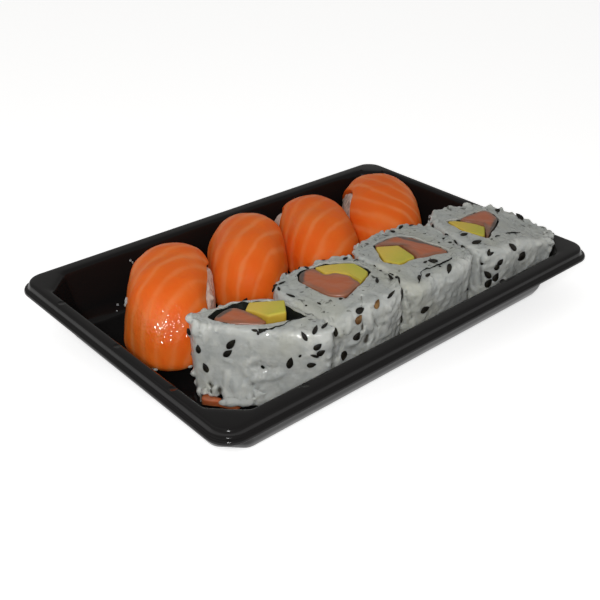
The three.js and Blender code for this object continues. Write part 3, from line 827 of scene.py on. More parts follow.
# %% Roll outlines
ROLL_HEIGHT = 30
ROLLS = {
    1: {
        "outline": [(-69.6, -16), (-66.2, -21.5), (-59.5, -31), (-50, -41.5), (-41, -48.6),
            (-36.4, -48), (-35.2, -38), (-36, -27), (-38.5, -19), (-47, -13.6), (-57, -11.2),
            (-66.5, -9.8)],
        "wrap": [(-63.2, -16.2), (-61.9, -21), (-58, -26.7), (-51.7, -31.9), (-44.4, -34.9),
            (-38.6, -37.4), (-38.2, -31), (-38.8, -25), (-46.8, -15.9), (-53.6, -13.8), (-58.6, -13.9)],
        "salmon": [(-61.8, -18.1), (-58.3, -16.5), (-53.5, -16.3), (-51.4, -19.8), (-50.6, -23.3),
            (-50, -27), (-50.2, -30.2), (-51.8, -30.6), (-56.4, -26.9), (-60.7, -22.1)],
        "avocado": [(-49.5, -30.3), (-44.3, -33.4), (-39, -26.4), (-46.9, -17.2), (-50.8, -20.2),
            (-50.1, -24)],
        "tail": [(-38.6, -36.8), (-43.5, -35.4), (-48.8, -35.6), (-53.2, -34.6), (-55.6, -32.9)],
        "sag": None, "green": (0.5, -1), "proud": 2.5, "skin_and_shade": [(-60, -18), (-55, -17)],
    },
    2: {
        "outline": [(-37, -22), (-35.6, -32), (-32.4, -41), (-24.5, -45), (-13, -46.4), (-5, -46.2),
            (0.6, -44), (3.6, -36), (4.4, -27), (3.2, -17.5), (-1.6, -11.4), (-13, -9.8), (-25, -9.6),
            (-33.4, -13.4)],
        "wrap": [(-22.4, -13.4), (-24.9, -17.2), (-25.1, -21.4), (-24.7, -25.8), (-23.9, -30.4),
            (-21.6, -33.9), (-18.7, -35.6), (-13.6, -34.3), (-9.2, -33), (-3, -30.5), (-0.2, -28.8),
            (0.4, -25), (0.4, -19.8), (-3.6, -16.5), (-9.4, -13.4), (-13.2, -12.4), (-17, -11.8),
            (-20, -12.3)],
        "salmon": [(-21.8, -14.3), (-24.1, -17.4), (-24.3, -21.4), (-23.9, -25.6), (-23.2, -30),
            (-21.2, -33.1), (-18.7, -34.8), (-13.8, -33.5), (-9.5, -32.3), (-8.6, -28.6), (-8.5, -25.6),
            (-11, -21.2), (-14.4, -19.8), (-14.1, -16.1), (-14.1, -13.3), (-17, -12.6), (-19.9, -13.1)],
        "avocado": [(-13.5, -13.2), (-9.6, -14.2), (-3.8, -17.3), (-0.4, -20), (-0.5, -25),
            (-1.1, -28.1), (-3.3, -29.7), (-8.7, -31.8), (-8, -28.4), (-7.9, -25.4), (-10.5, -20.8),
            (-13.9, -19.3)],
        "tail": None, "sag": ((-33, -43), 11, 3.5), "green": (1, -0.4), "proud": 0,
        "skin_and_shade": [(-24, -18), (-19, -13)],
    },
    3: {
        "outline": [(3, -18), (3.4, -30), (1.6, -40), (5.6, -45.6), (16, -46.8), (28, -46.8),
            (37, -45.4), (40.4, -37), (44, -25.5), (44.4, -15.5), (39, -9.6), (30, -8.8), (20, -8),
            (10, -9.8)],
        "wrap": [(14.6, -14.9), (21.3, -13.6), (27.8, -14.9), (31.7, -19.2), (32.5, -25), (33.7, -30),
            (34, -34.2), (32.6, -37.2), (29.9, -36.5), (26.7, -35.1), (22.9, -34.4), (19.4, -32.9),
            (16.7, -32.3), (11, -32), (8.2, -26), (12.6, -18.2)],
        "salmon": [(15.6, -15.4), (21.3, -14.4), (27.4, -15.6), (30.9, -19.5), (31.7, -25), (32.9, -30),
            (33.2, -34), (32.3, -36.2), (30.2, -35.7), (26.9, -34.3), (23.2, -33.6), (20.4, -31.9),
            (21.2, -30.4), (22.9, -20.5)],
        "avocado": [(15, -16), (22.3, -20.7), (20.6, -30.2), (19.4, -31.8), (16.7, -31.6),
            (11.4, -31.3), (9.1, -25.9), (13.2, -18.5)],
        "tail": [(29.4, -40.8), (24.8, -41), (18.2, -40.2), (14.6, -39.6), (11.6, -41.2), (8.6, -43.6)],
        "sag": ((8, -46), 9, 1.5), "green": (0.3, -1), "proud": 0,
        "skin_and_shade": [(27, -15.2), (32.4, -21), (33.4, -33)],
    },
    4: {
        "outline": [(43, -28), (41.2, -37), (41.6, -45), (50, -48.4), (62, -49.6), (73, -50.6),
            (81, -50), (85, -44.5), (84.5, -36), (80.4, -24), (73, -14.6), (63, -9.6), (54, -9.4),
            (47.6, -13.8), (45.4, -20)],
        "wrap": [(52.4, -18.2), (55, -18.6), (58.2, -20.1), (66, -20.1), (73.2, -21.4), (72, -29.6),
            (66.2, -33.5), (59.6, -36.5), (52.6, -39.2), (51.9, -37), (51, -32.6), (50.1, -28.8),
            (50.8, -23.4)],
        "salmon": [(58, -22.4), (58.6, -20.9), (66, -20.9), (72.3, -22.1), (71.1, -29.1), (65.8, -32.8),
            (59.4, -35.7), (53.6, -38), (54.8, -36.8), (60.9, -32.3), (59.9, -26.2)],
        "avocado": [(53.1, -18.9), (55.6, -20.5), (57.8, -24), (59.6, -28), (60.2, -32), (54, -36.7),
            (52.7, -36.4), (51.8, -32.3), (51, -28.8), (51.6, -23.8)],
        "tail": [(56, -39.8), (60, -40.6), (65, -40.8), (70.6, -41.4)],
        "sag": ((80, -44), 12, 5), "green": (0.6, -1), "proud": 0,
        # the dark band on this roll's salmon is painted shade on a face that falls away, not skin
        "skin_and_shade": [(57, -37), (62, -34.6), (69, -31)],
    },
}


for number, roll in ROLLS.items():
    print("roll", number, "size from above, mm:", np.ptp(np.array(roll["outline"]), axis=0))


def top_of(roll, places):
    """Height of a roll's cut top at places seen from above: some have a lower shoulder."""
    if roll["sag"] is None:
        return np.full(len(places), float(ROLL_HEIGHT))
    middle, reach, depth = roll["sag"]
    away = np.linalg.norm(places[:, :2] - np.array(middle), axis=1) / reach
    return ROLL_HEIGHT - depth * np.exp(-away**2)


# %% [markdown]
# ### Keeping things apart
#
# Grains that stick out at random would cross the seaweed, the next roll or the tray. A
# Boolean could cut them off, but it leaves a hard edge in a dense mesh. Moving the few
# points that went too far back to the border is gentler: each such point goes to the
# nearest place on the outline it has crossed, as a grain pressed against a wall would.

# %% Borders
def inside(places, outline):
    """Which places lie inside a closed outline."""
    x, y = places[:, 0][:, None], places[:, 1][:, None]
    x0, y0 = outline[:, 0], outline[:, 1]
    x1, y1 = np.roll(x0, -1), np.roll(y0, -1)
    level = (y0 > y) != (y1 > y)
    rise = np.where(y1 == y0, 1e-9, y1 - y0)
    return (level & (x < (x1 - x0) * (y - y0) / rise + x0)).sum(axis=1) % 2 == 1


def nearest_on(places, outline):
    """The nearest place on an outline, and how far away it is."""
    shut = evenly(outline, 4 * len(outline))
    found = np.zeros((len(places), 2))
    away = np.zeros(len(places))
    for first in range(0, len(places), 4000):
        part = places[first:first + 4000, :2]
        gaps = np.linalg.norm(part[:, None, :] - shut[None], axis=2)
        nearest = gaps.argmin(axis=1)
        found[first:first + 4000] = shut[nearest]
        away[first:first + 4000] = gaps[np.arange(len(part)), nearest]
    return found, away


def push_out(points, outline):
    """Moves the points that lie inside an outline out to it."""
    low, high = outline.min(axis=0), outline.max(axis=0)
    near = np.all((points[:, :2] > low) & (points[:, :2] < high), axis=1)
    picked = np.flatnonzero(near)
    picked = picked[inside(points[picked], outline)]
    points[picked, :2] = nearest_on(points[picked], outline)[0]
    return points


def overhang(number, lining):
    """Where the rice leans in over the seaweed's edge, from 0 to 1 along the lining."""
    if number == 1:
        return np.zeros(len(lining))
    return np.clip(2.2 * ripple(at_level(lining, 0), 3.2, number + 60) - 0.25, 0, 1)


def keep_in_tray(points, clearance=0.3):
    """Moves the points that would cross the tray's floor or walls back inside."""
    lean = (points[:, 2] - SHOULDER) * SLOPE - TURN - clearance
    foot = np.interp(points[:, 2], [FLOOR, 1.2, 2.8, 5], [-4.2, -2.2, -0.6, 0])
    over = np.interp(points[:, 2], [TRAY["height"] - 0.6, TRAY["height"] + 1.6], [0, 5])
    half_x = HALF_X - RIM_SIDE + lean + foot + over
    half_y = HALF_Y - RIM_LONG + lean + foot + over
    points[:, 0] = np.clip(points[:, 0], -half_x, half_x)
    points[:, 1] = np.clip(points[:, 1], -half_y, half_y)
    beyond = np.abs(points[:, 0]) + np.abs(points[:, 1]) - (half_x + half_y - CUT)
    back = np.maximum(beyond, 0) / 2
    points[:, :2] -= np.sign(points[:, :2]) * back[:, None]
    points[:, 2] = np.maximum(points[:, 2], FLOOR + 0.1)
    return points


# %% [markdown]
# ### Rice of a roll
#
# The core is a loft that runs up the outside, over the cut top to the seaweed's hole, down
# the hole and back underneath, so it closes on itself like a tyre. It stands back from the
# outline by half a grain. Slow swells keep its sides from looking machined. The mat has
# pressed the sides, so grains rise less near the top, and more low down and at the back.
# The first roll is bare paste along its top edge, and the others are rounder there.

# %% Roll cores
ROLL_SWELLS = {  # across, down, radius, amount
    1: [(236, 397, 8, 3.6), (191, 381, 3.5, -1.8), (189, 340, 5, -0.3)],
    4: [(547, 257, 5, 1.4), (434, 210, 3.5, 1.0)],
}
EASED = {1: 0.7, 2: 2.0, 3: 1.9, 4: 1.5}  # how round the top edge is towards the eye
LUMPY = {1: 0.0, 2: 0.35, 3: 0.25, 4: 0.3}  # how much more the grains show on each roll
COLUMNS = 200
SIDE_ROWS, TOP_ROWS = 20, 10
GRAIN_ROOM = 0.9  # how far the core stays inside the outline, to leave room for grains
HOLE_OVERLAP = 0.7  # how far it reaches in past the seaweed, to be pushed back afterwards
SMOOTH_FROM = 0.87  # share of the height above which the first roll's sides have no grains
SUNK, ON_SIDES, ON_TOP = -1.2, -1.3, -0.85  # how far grains stand out of the core, at least
EYE_SIDE = unit(np.array(towards_eye[:2]))


def matched(outline, hole):
    """The hole's points, turned so that each is beside the outline's point of its number."""
    gaps = [((outline - np.roll(hole, shift, axis=0))**2).sum() for shift in range(len(hole))]
    return np.roll(hole, int(np.argmin(gaps)), axis=0)


def roll_core(number, roll):
    """Points, faces, bareness and lift of the body that a roll's grains are laid on."""
    outline = closed_curve(roll["outline"], COLUMNS)
    hole = matched(outline, grow(closed_curve(roll["wrap"], COLUMNS), -HOLE_OVERLAP))
    tops = top_of(roll, outline)
    turned_away = np.clip(-(facing(outline) @ EYE_SIDE), 0, 1)
    eased = EASED[number] * np.clip(facing(outline) @ EYE_SIDE, 0, 1)
    rows = [(at_level(grow(outline, -GRAIN_ROOM - 1.8), STAND + 0.2), 0.0, SUNK)]
    for share in np.linspace(0.03, 0.965, SIDE_ROWS):
        inward = GRAIN_ROOM + eased * max(0, (share - 0.86) / 0.105)**2
        ring = at_level(outline - facing(outline) * inward[:, None],
                        STAND + share * (tops - STAND))
        rows.append((ring, 1.0 if share < SMOOTH_FROM or number > 1 else 0.0,
                     ON_SIDES + LUMPY[number] + 0.45 * (1 - share) + 0.6 * turned_away))
    rim = outline - facing(outline) * (GRAIN_ROOM + 0.3 + 1.35 * eased)[:, None]
    for share in np.linspace(0, 1, TOP_ROWS):
        ring = rim * (1 - share) + hole * share
        bare = 1.0 if 0.1 < share < 0.75 else 0.0
        rows.append((at_level(ring, top_of(roll, ring) - 0.6 + 0.6 * share**3), bare,
                     ON_TOP + 0.2 * turned_away * (1 - share)))
    rows.append((at_level(hole, STAND + 0.2), 0.0, SUNK))
    points, faces = loft([ring for ring, _, _ in rows], shut_loop=True)
    outward = unit(at_level(points[:, :2] - points[:, :2].mean(axis=0), 0.0))
    bare = np.repeat([value for _, value, _ in rows], COLUMNS)
    lift = np.concatenate([np.broadcast_to(value, COLUMNS) for _, _, value in rows])
    lift = lift + 0.35 * ripple(points, 8, number + 30)
    swell = swells(points, (0.7, 10, number), (0.3, 4, number + 7))
    points = points + outward * (swell * bare)[:, None]
    points = swell_at(points, tree_from(points, faces), ROLL_SWELLS.get(number, []))
    return points, faces, bare, lift


# %% [markdown]
# Some grains are big enough to be told from afar: they hang at a corner or stick out of the
# front. They are laid by looking, on the core, before it is melted. Along the rim at the
# back others stand out at random. Cracks and hollows are pressed in after the melting,
# straight away from the eye, because a voxel skin would have closed the thin ones, and
# their depth is painted dark into the rice as shade.

# %% Single grains and dents
RIM_PITCH = 2.9
BIG_GRAINS = {  # across, down, turn, length, width, how far it stands out
    1: [(192.5, 317.5, 20, 5.2, 4.0, 1.7), (195, 327, 85, 6.5, 2.8, 1.0),
        (194.5, 373, 30, 4.2, 2.4, 1.5), (205, 396, 80, 7.8, 2.6, 2.2), (214.5, 391, 60, 5.6, 2.6, 1.9),
        (231, 402, 2, 7.2, 3.2, 1.9), (245, 402.5, 4, 6.2, 2.8, 1.6), (236, 386, 100, 8.5, 4.2, 1.1),
        (227, 379, 80, 7.0, 3.2, 0.9), (258, 379, 12, 8.5, 3.4, 1.0), (276, 376, 20, 7.5, 3.0, 0.9),
        (262, 391, 60, 6.0, 2.6, 0.9), (252, 361, 30, 6.5, 2.6, 0.8), (204, 335, 95, 8.0, 3.0, 0.7)],
    2: [(369, 322, 100, 8.5, 3.6, 1.5), (352, 343, 20, 6.5, 2.8, 1.0), (348, 301, 60, 6.5, 2.8, 0.9),
        (331, 312, 120, 6.0, 2.6, 0.8), (386, 334, 30, 7.0, 3.0, 0.9), (327, 357, 35, 6.5, 2.8, 0.8),
        (372, 300, 70, 6.5, 3.0, 1.0), (349, 325, 85, 7.0, 3.0, 0.8)],
    3: [(420, 298, 70, 6.5, 2.8, 0.7), (440, 300, 30, 6.0, 2.6, 0.6), (466, 285, 75, 7.0, 2.8, 0.7),
        (430, 288, 100, 5.5, 2.4, 0.6)],
    4: [(540, 243, 20, 5.5, 2.8, 0.9), (503, 262, 80, 5.5, 2.6, 0.6), (530, 262, 30, 6.0, 2.6, 0.7),
        (512, 268, 100, 5.5, 2.4, 0.6), (552, 229, 20, 4.6, 2.6, 1.3), (555, 236, 150, 4.2, 2.6, 1.3),
        (552, 243, 10, 4.4, 2.6, 1.4), (550, 250, 160, 4.4, 2.6, 1.3), (546, 257, 20, 4.2, 2.4, 1.2),
        (546, 223, 170, 4.4, 2.6, 1.1)],
}
DENTS = {  # from, to, half width, depth
    1: [((254, 364), (267, 369), 2.2, 0.9), ((262.5, 368.5), (268.5, 368.5), 0.7, 2.6),
        ((260, 362), (262.5, 366), 0.5, 1.1), ((252.5, 384), (254, 397), 0.5, 1.1),
        ((255, 389), (264, 392.5), 0.4, 0.9), ((210, 385), (210.5, 392), 0.7, 2.2),
        ((219.5, 390), (220, 396), 0.8, 2.2), ((199, 320), (200, 334), 0.5, 0.7),
        ((240, 374), (246, 382), 1.2, 0.6)],
    2: [((361.8, 296), (361.5, 306), 0.45, 1.2), ((361.5, 306), (362.6, 329), 0.55, 1.9),
        ((367.5, 336.5), (366, 341), 1.3, 2.0), ((340.5, 343), (337.5, 356), 0.8, 1.1),
        ((374.5, 321), (378, 327), 0.6, 1.2), ((346, 291), (346.5, 297), 0.7, 2.0),
        ((352, 350.5), (360, 352), 1.0, 0.8)],
    3: [((435, 282), (437, 292), 0.7, 0.5), ((410, 304), (412, 318), 0.9, 1.1),
        ((363, 262), (369, 285), 0.6, 0.9), ((406, 292), (408, 302), 0.6, 0.9)],
    4: [((497, 241), (499, 245), 0.8, 0.4), ((481, 258), (482, 284), 0.8, 1.2),
        ((468, 236), (478, 252), 0.6, 0.7)],
}
print("single grains:", sum(len(grains) for grains in BIG_GRAINS.values()),
      "dents:", sum(len(dents) for dents in DENTS.values()))


# %% Laying grains and pressing dents
def laid_grains(core, grains):
    """Single grains laid on a core, as lofts."""
    tree = tree_from(*core)
    shapes = []
    for x, y, turn, length, width, out in grains:
        place, outward = seen_at([tree], x, y)
        size = (length / 2, width / 2, width * 0.45)
        shapes.append(pebble(place + outward * (out - size[2]), outward,
                             lying(outward, x, y, turn), size))
    return shapes


def rim_grains(roll, draw):
    """Grains that stand out all along the rim, on the side turned away from the eye."""
    outline = closed_curve(roll["outline"], COLUMNS)
    outward = facing(outline)
    length = np.linalg.norm(np.diff(outline, axis=0), axis=1).sum()
    shapes = []
    for stop in np.arange(0, COLUMNS, COLUMNS * RIM_PITCH / length):
        index = int(stop + draw.uniform(0, 1)) % COLUMNS
        if outward[index] @ EYE_SIDE > 0.2 or draw.uniform() < 0.5:
            continue
        out = np.append(outward[index], 0)
        lean = draw.uniform(0.1, 1.2)
        aside = np.cross(out, (0, 0, 1)) * draw.uniform(-1.2, 1.2)
        along = unit(out * math.cos(lean) + aside + np.array([0, 0, math.sin(lean)]))
        normal = np.cross(unit(np.cross(along, out)), along)
        size = (draw.uniform(1.9, 3.4), draw.uniform(1.0, 1.8), 1.2)
        edge = at_level(outline[index:index + 1], top_of(roll, outline[index:index + 1]))[0]
        edge += out * draw.uniform(-0.8, 0.3) + (0, 0, draw.uniform(-1.2, -0.1))
        shapes.append(pebble(edge - along * size[0], normal, along, size))
    return shapes


def press_dents(points, piece, dents):
    """Presses cracks into a piece, straight away from the eye, and marks where they are for painted
    shade.
    """
    tree = tree_of(piece)
    painted_crack_shade = np.zeros(len(points))
    for start, end, half_width, depth in dents:
        first, last = (seen_at([tree], *spot)[0] for spot in (start, end))
        span = last - first
        share = np.clip((points - first) @ span / (span @ span), 0, 1)
        away = np.linalg.norm(points - first - share[:, None] * span, axis=1)
        near = np.flatnonzero(away < 3 * half_width)
        away[near] *= 1 + 0.5 * ripple(points[near], 1.2)
        inward = np.exp(-(away / half_width)**2)
        points -= np.outer(depth * inward, towards_eye)
        painted_crack_shade = np.maximum(painted_crack_shade, inward * min(depth / 2, 1))
    mark(piece, "painted_crack_shade", painted_crack_shade)
    return points


# %% [markdown]
# Now each roll is put together: its core and its single grains are melted into one skin, the
# dents are pressed in, and what has crossed a border is moved back to it. The knife leaves
# the cut face almost level, and greyest round the filling, where it opened the most grains;
# that grey is partly painted shade on a face turned up. It is kept as an attribute, and the
# painted shade fades out over the edge towards the eye, where the light falls.

# %% Cut faces
PRESSED_FROM = 0.3  # how far below the cut the knife starts to press grains down
STILL_PROUD = 0.55  # the share of their height above that which they keep


def press_flat(points, roll):
    """A knife and a board leave the grains on the cut faces almost level."""
    level = top_of(roll, points) - PRESSED_FROM
    proud = points[:, 2] - level
    well_inside = inside(points, grow(closed_curve(roll["outline"], COLUMNS), -1.8))
    points[:, 2] = np.where((proud > 0) & well_inside, level + STILL_PROUD * proud, points[:, 2])
    return points


SCRAP = [(-70.4, -21), (-67.4, -25.6), (-63.4, -31.2), (-59.8, -29), (-62.2, -24.4),
         (-65.6, -18.6)]  # a scrap of salmon that lies under the first roll
SCRAP_TOP = STAND + 2.6
# how much painted shade each cut face gets
CUT_SHADE = {1: 0.7, 2: 0.8, 3: 0.95, 4: 0.7}  # how grey each cut face is


def cut_shade(number, points, outline):
    """Painted shade on the cut face, partly greyer opened grains: most round the filling, least at the
    edge near the eye, where the light falls.
    """
    to_edge, away = nearest_on(points, outline)
    outward = to_edge - points[:, :2]
    near_eye = np.clip(outward @ EYE_SIDE / np.maximum(away, 1e-6) + 0.3, 0, 1)
    return CUT_SHADE[number] * (1 - near_eye * np.clip(1.5 - away / 3.5, 0, 1))


# %% Rice of the rolls
CLEAR = 0.1  # how far the rice stays from the seaweed and from the roll beside it
LEANS_FROM = 1.5  # how far below the cut the rice starts to lean over the seaweed

rolls_of_rice = {}
draw = np.random.default_rng(11)
for number, roll in ROLLS.items():
    points, faces, bare, lift = roll_core(number, roll)
    grains = laid_grains((points, faces), BIG_GRAINS[number]) + rim_grains(roll, draw)
    count = len(grains[0][0])
    tone = np.append(np.full(len(points), 0.5), np.repeat(draw.uniform(0, 1, len(grains)), count))
    body = gather([(points, faces)] + grains)
    rest = np.zeros(count * len(grains))
    piece = melt_grains(f"rice_of_roll_{number}", body, np.append(bare, rest),
                        np.append(lift, rest), tone, 20 + number, rice_finish)
    points = press_dents(points_of(piece), piece, DENTS[number])
    points = press_flat(points, roll)
    lining = closed_curve(roll["wrap"], COLUMNS)
    leaning = lining - facing(lining) * (CLEAR + 0.5 * overhang(number, lining))[:, None]
    low = points[:, 2] < top_of(roll, points) - LEANS_FROM
    points[low] = push_out(points[low], grow(lining, -CLEAR))
    points[~low] = push_out(points[~low], leaning)
    if number > 1:
        beside = closed_curve(ROLLS[number - 1]["outline"], COLUMNS)
        points = push_out(points, grow(beside, CLEAR))
    over = inside(points, grow(closed_curve(SCRAP, 80), 0.4))
    points[over, 2] = np.maximum(points[over, 2], SCRAP_TOP + 0.5)
    move_points(piece, keep_in_tray(points))
    # painted shade on faces turned up near the cut, partly greyer opened grains, less towards the edge
    # near the eye
    upward = np.clip((normals_of(piece)[:, 2] - 0.45) / 0.3, 0, 1)
    cut = upward * np.clip(2.4 - top_of(roll, points) + points[:, 2], 0, 1)
    on_top = cut > 0
    cut[on_top] *= cut_shade(number, points[on_top], closed_curve(roll["outline"], COLUMNS))
    mark(piece, "cut", cut)
    rolls_of_rice[number] = hand_over(piece, "rice", f"roll_{number}_rice")

# %% [markdown]
# ### Seaweed
#
# The sheet is as thin as paper, black with a green cast, damp and crinkled. On the cut face
# its edge lies a little below the rice, and only here and there does it rise to a thin dark
# line. A ring of wall is lofted round the hole, with a wavy upper edge that is lower where
# the rice leans over it. Its loose end is the same wall along an open line.

# %% Seaweed finish
seaweed_finish, tree, shader = new_finish(
    "damp_seaweed", Roughness=0.6, Specular_IOR_Level=0.2)
place = own_place(tree)
colour = blend_colours(tree, patches(tree, place, 220, 4, 0.4, 0.7),
                       (0.003, 0.004, 0.003, 1), (0.008, 0.011, 0.005, 1))
tree.links.new(colour, shader.inputs["Base Color"])
relief(tree, shader, cloud(tree, place, 1400, 4), 0.0003)

# %% Seaweed
SEAWEED = 0.22  # its thickness
SEAWEED_IN = 0.14  # how far it stays inside the hole in the rice
BELOW_CUT = 0.85  # how far its edge lies below the cut
TUCKED = 2.4  # how much lower it is where the rice leans over it


def wavy_edge(outline, height, wave, seed):
    """A wall's upper edge, which rises and falls along its length."""
    return height + wave * ripple(at_level(outline, 0), 3.5, seed)


def seaweed_loop(number, roll):
    lining = closed_curve(roll["wrap"], COLUMNS)
    height = top_of(roll, lining) - BELOW_CUT - TUCKED * overhang(number, lining)
    edge = wavy_edge(lining, height, 0.9, number)
    outer, inner = grow(lining, -SEAWEED_IN), grow(lining, -SEAWEED_IN - SEAWEED)
    rings = [at_level(outer, STAND), at_level(outer, edge * 0.5), at_level(outer, edge),
             at_level(inner, edge), at_level(inner, edge * 0.5), at_level(inner, STAND)]
    piece = make_piece(f"seaweed_of_roll_{number}", *loft(rings, shut_loop=True),
                       seaweed_finish)
    return hand_over(piece, "seaweed", f"roll_{number}_seaweed")


def open_curve(stops, count):
    """Evenly spaced points on a smooth open curve through given points."""
    stops = np.array(stops, float)
    mirrored = np.vstack([2 * stops[0] - stops[1], stops, 2 * stops[-1] - stops[-2]])
    spans = []
    for p0, p1, p2, p3 in zip(mirrored, mirrored[1:], mirrored[2:], mirrored[3:]):
        t = np.linspace(0, 1, 12, endpoint=False)[:, None]
        spans.append(p1 + 0.5 * t * (p2 - p0 + t * (2 * p0 - 5 * p1 + 4 * p2 - p3
                                                    + t * (3 * (p1 - p2) + p3 - p0))))
    return evenly(np.vstack(spans + [stops[-1:]]), count, shut=False)


def seaweed_end(number, roll):
    line = open_curve(roll["tail"], 90)
    along = unit(np.gradient(line, axis=0))
    across = np.stack([-along[:, 1], along[:, 0]], axis=1)
    line = line + across * (0.5 * ripple(at_level(line, 5), 1.6, number))[:, None]
    torn = 0.7 + 1.2 * np.clip(ripple(at_level(line, 9), 2.2, number + 3), 0, 1)
    half = across * (SEAWEED / 2 * torn)[:, None]
    edge = wavy_edge(line, top_of(roll, line) - 0.02, 0.6, number + 20)
    walls = np.stack([at_level(line - half, STAND), at_level(line - half, edge),
                      at_level(line + half, edge), at_level(line + half, STAND)], axis=1)
    piece = make_piece(f"seaweed_end_of_roll_{number}", *loft(walls), seaweed_finish)
    return hand_over(piece, "seaweed", f"roll_{number}_seaweed_end")


for number, roll in ROLLS.items():
    seaweed_loop(number, roll)
    if roll["tail"]:
        seaweed_end(number, roll)

# %% [markdown]
# ### Filling
#
# Cut across, the salmon in a roll is smooth and wet, orange in the middle, pinker and
# greyer towards its edges and its skin side, and on the fourth roll that darker side is
# painted shade on a face that falls away. The avocado is a plain buttery block. Its cut
# sides are painted a deeper yellow, as shade, it turns green towards the side that lay under
# its skin, and it keeps the crisp corners of the knife. Both fill the seaweed from side to
# side.

# %% Filling shapes
def filling_block(name, outline, top, crown, rough, seed, finish):
    """A block over an outline, with eased edges and a crowned, uneven top."""
    middle = outline.mean(axis=0)
    rings = [at_level(grow(outline, -0.4), STAND), at_level(outline, STAND + 0.5)]
    rings += [at_level(outline, STAND + share * (top - 0.8 - STAND))
              for share in np.linspace(0.12, 1, 12)]
    rings += [at_level(grow(outline, -0.07), top - 0.4), at_level(grow(outline, -0.25), top - 0.12)]
    edge = grow(outline, -0.5)
    middle_top = np.mean(top)
    for share in (1.0, 0.92, 0.82, 0.7, 0.57, 0.43, 0.29, 0.15, JUST_OFF):
        height = (top - middle_top) * share + middle_top + crown * (1 - share**2)
        rings.append(at_level(middle + (edge - middle) * share, height))
    points, faces = loft(rings)
    upper = np.clip((points[:, 2] - (middle_top - 3)) / 3, 0, 1)
    points[:, 2] += upper * rough * swells(points, (1, 4.5, seed), (0.25, 1.5, seed))
    piece = make_piece(name, points, faces, finish)
    return piece, points


# %% Filling finishes
filling_finish, tree, shader = new_finish(
    "rolled_salmon", Roughness=0.4, Subsurface_Weight=0.4, Subsurface_Scale=0.0014,
    Subsurface_Radius=(1.0, 0.4, 0.25), Coat_Weight=0.25, Coat_Roughness=0.22)
place = own_place(tree)
to_skin_and_shade = marked(tree, "to_skin_and_shade")
to_edge = marked(tree, "to_edge")
blotch = cloud(tree, place, 190, 3)
colour = blend_colours(tree, between(tree, plus(tree, to_edge, times(tree, blotch, 0.8)),
                                     0.5, 1.3),
                       (0.43, 0.105, 0.03, 1), (0.27, 0.102, 0.052, 1))
leaves = add(tree, "ShaderNodeTexWave",
             {"Vector": place, "Scale": 70.0, "Distortion": 9.0, "Detail": 2.0,
              "Detail Scale": 0.8}, bands_direction="DIAGONAL").outputs["Fac"]
colour = blend_colours(tree, between(tree, leaves, 0.6, 1.0, 0, 0.16), colour,
                       (0.46, 0.2, 0.12, 1))
# darker towards the skin side; on the fourth roll this dark band is painted shade
colour = blend_colours(tree, between(tree, plus(tree, to_skin_and_shade, times(tree, blotch, 0.5)),
                                     0.7, 1.1, 0, 0.95), colour, (0.08, 0.058, 0.045, 1))
tree.links.new(colour, shader.inputs["Base Color"])
relief(tree, shader, cloud(tree, place, 420, 2), 0.00014)

avocado_finish, tree, shader = new_finish(
    "avocado_flesh", Roughness=0.5, Subsurface_Weight=0.25, Subsurface_Scale=0.001,
    Subsurface_Radius=(1.0, 0.9, 0.3), Specular_IOR_Level=0.2)
place = own_place(tree)
under_skin = marked(tree, "under_skin")
blotch = cloud(tree, place, 260, 3)
colour = blend_colours(tree, between(tree, plus(tree, under_skin, times(tree, blotch, 0.3)),
                                     0.35, 1.1),
                       (0.65, 0.475, 0.085, 1), (0.49, 0.46, 0.06, 1))
colour = blend_colours(tree, between(tree, blotch, 0.5, 0.8, 0, 0.35), colour,
                       (0.64, 0.5, 0.07, 1))
# painted shade: the steep cut sides are darker and deeper yellow
painted_side_shade = times(tree, marked(tree, "painted_side_shade"), 0.9)
colour = blend_colours(tree, painted_side_shade, colour, (0.45, 0.285, 0.03, 1))
tree.links.new(colour, shader.inputs["Base Color"])
relief(tree, shader, cloud(tree, place, 700, 3), 0.00015)
print("filling finishes:", filling_finish.name, avocado_finish.name)

# %% [markdown]
# The salmon's outline is a smooth curve. The avocado keeps its corners, so its outline runs
# straight from stop to stop and is only eased a little. Each point is told how near it is
# to an edge or to the line of skin and painted shade, and on the avocado how steep it is,
# for painted shade on its sides; the finishes read that.

# %% Filling
FILLED_TO = 29.75


def depth_in(points, direction):
    """How far each point lies along a direction in a block, from 0 to 1."""
    along = points[:, :2] @ unit(np.array(direction))
    return (along - along.min()) / (along.max() - along.min())


def smooth_corners(outline, rounds=6):
    for _ in range(rounds):
        outline = (np.roll(outline, 1, axis=0) + 2 * outline + np.roll(outline, -1, axis=0)) / 4
    return outline


for number, roll in ROLLS.items():
    flesh = closed_curve(roll["salmon"], 160)
    salmon, points = filling_block(f"salmon_of_roll_{number}", flesh, FILLED_TO, 0.2, 0.3,
                                   30 + number, filling_finish)
    _, from_edge = nearest_on(points, flesh)
    _, from_skin_and_shade = nearest_on(points, open_curve(roll["skin_and_shade"], 40))
    mark(salmon, "to_edge", np.clip(1 - from_edge / 3, 0, 1))
    mark(salmon, "to_skin_and_shade", np.clip(1 - from_skin_and_shade / 2.6, 0, 1))
    hand_over(salmon, "filling", f"roll_{number}_salmon")
    flesh = smooth_corners(evenly(anticlockwise(np.array(roll["avocado"], float)), 160))
    tops = FILLED_TO + roll["proud"] * depth_in(flesh, (0.55, -0.83))
    avocado, points = filling_block(f"avocado_of_roll_{number}", flesh, tops, 0.1, 0.12,
                                    40 + number, avocado_finish)
    mark(avocado, "under_skin", depth_in(points, roll["green"]))
    # painted shade on the steep cut sides, by how upright each point's face is
    mark(avocado, "painted_side_shade", np.clip(1 - normals_of(avocado)[:, 2], 0, 1))
    hand_over(avocado, "avocado", f"roll_{number}_avocado")

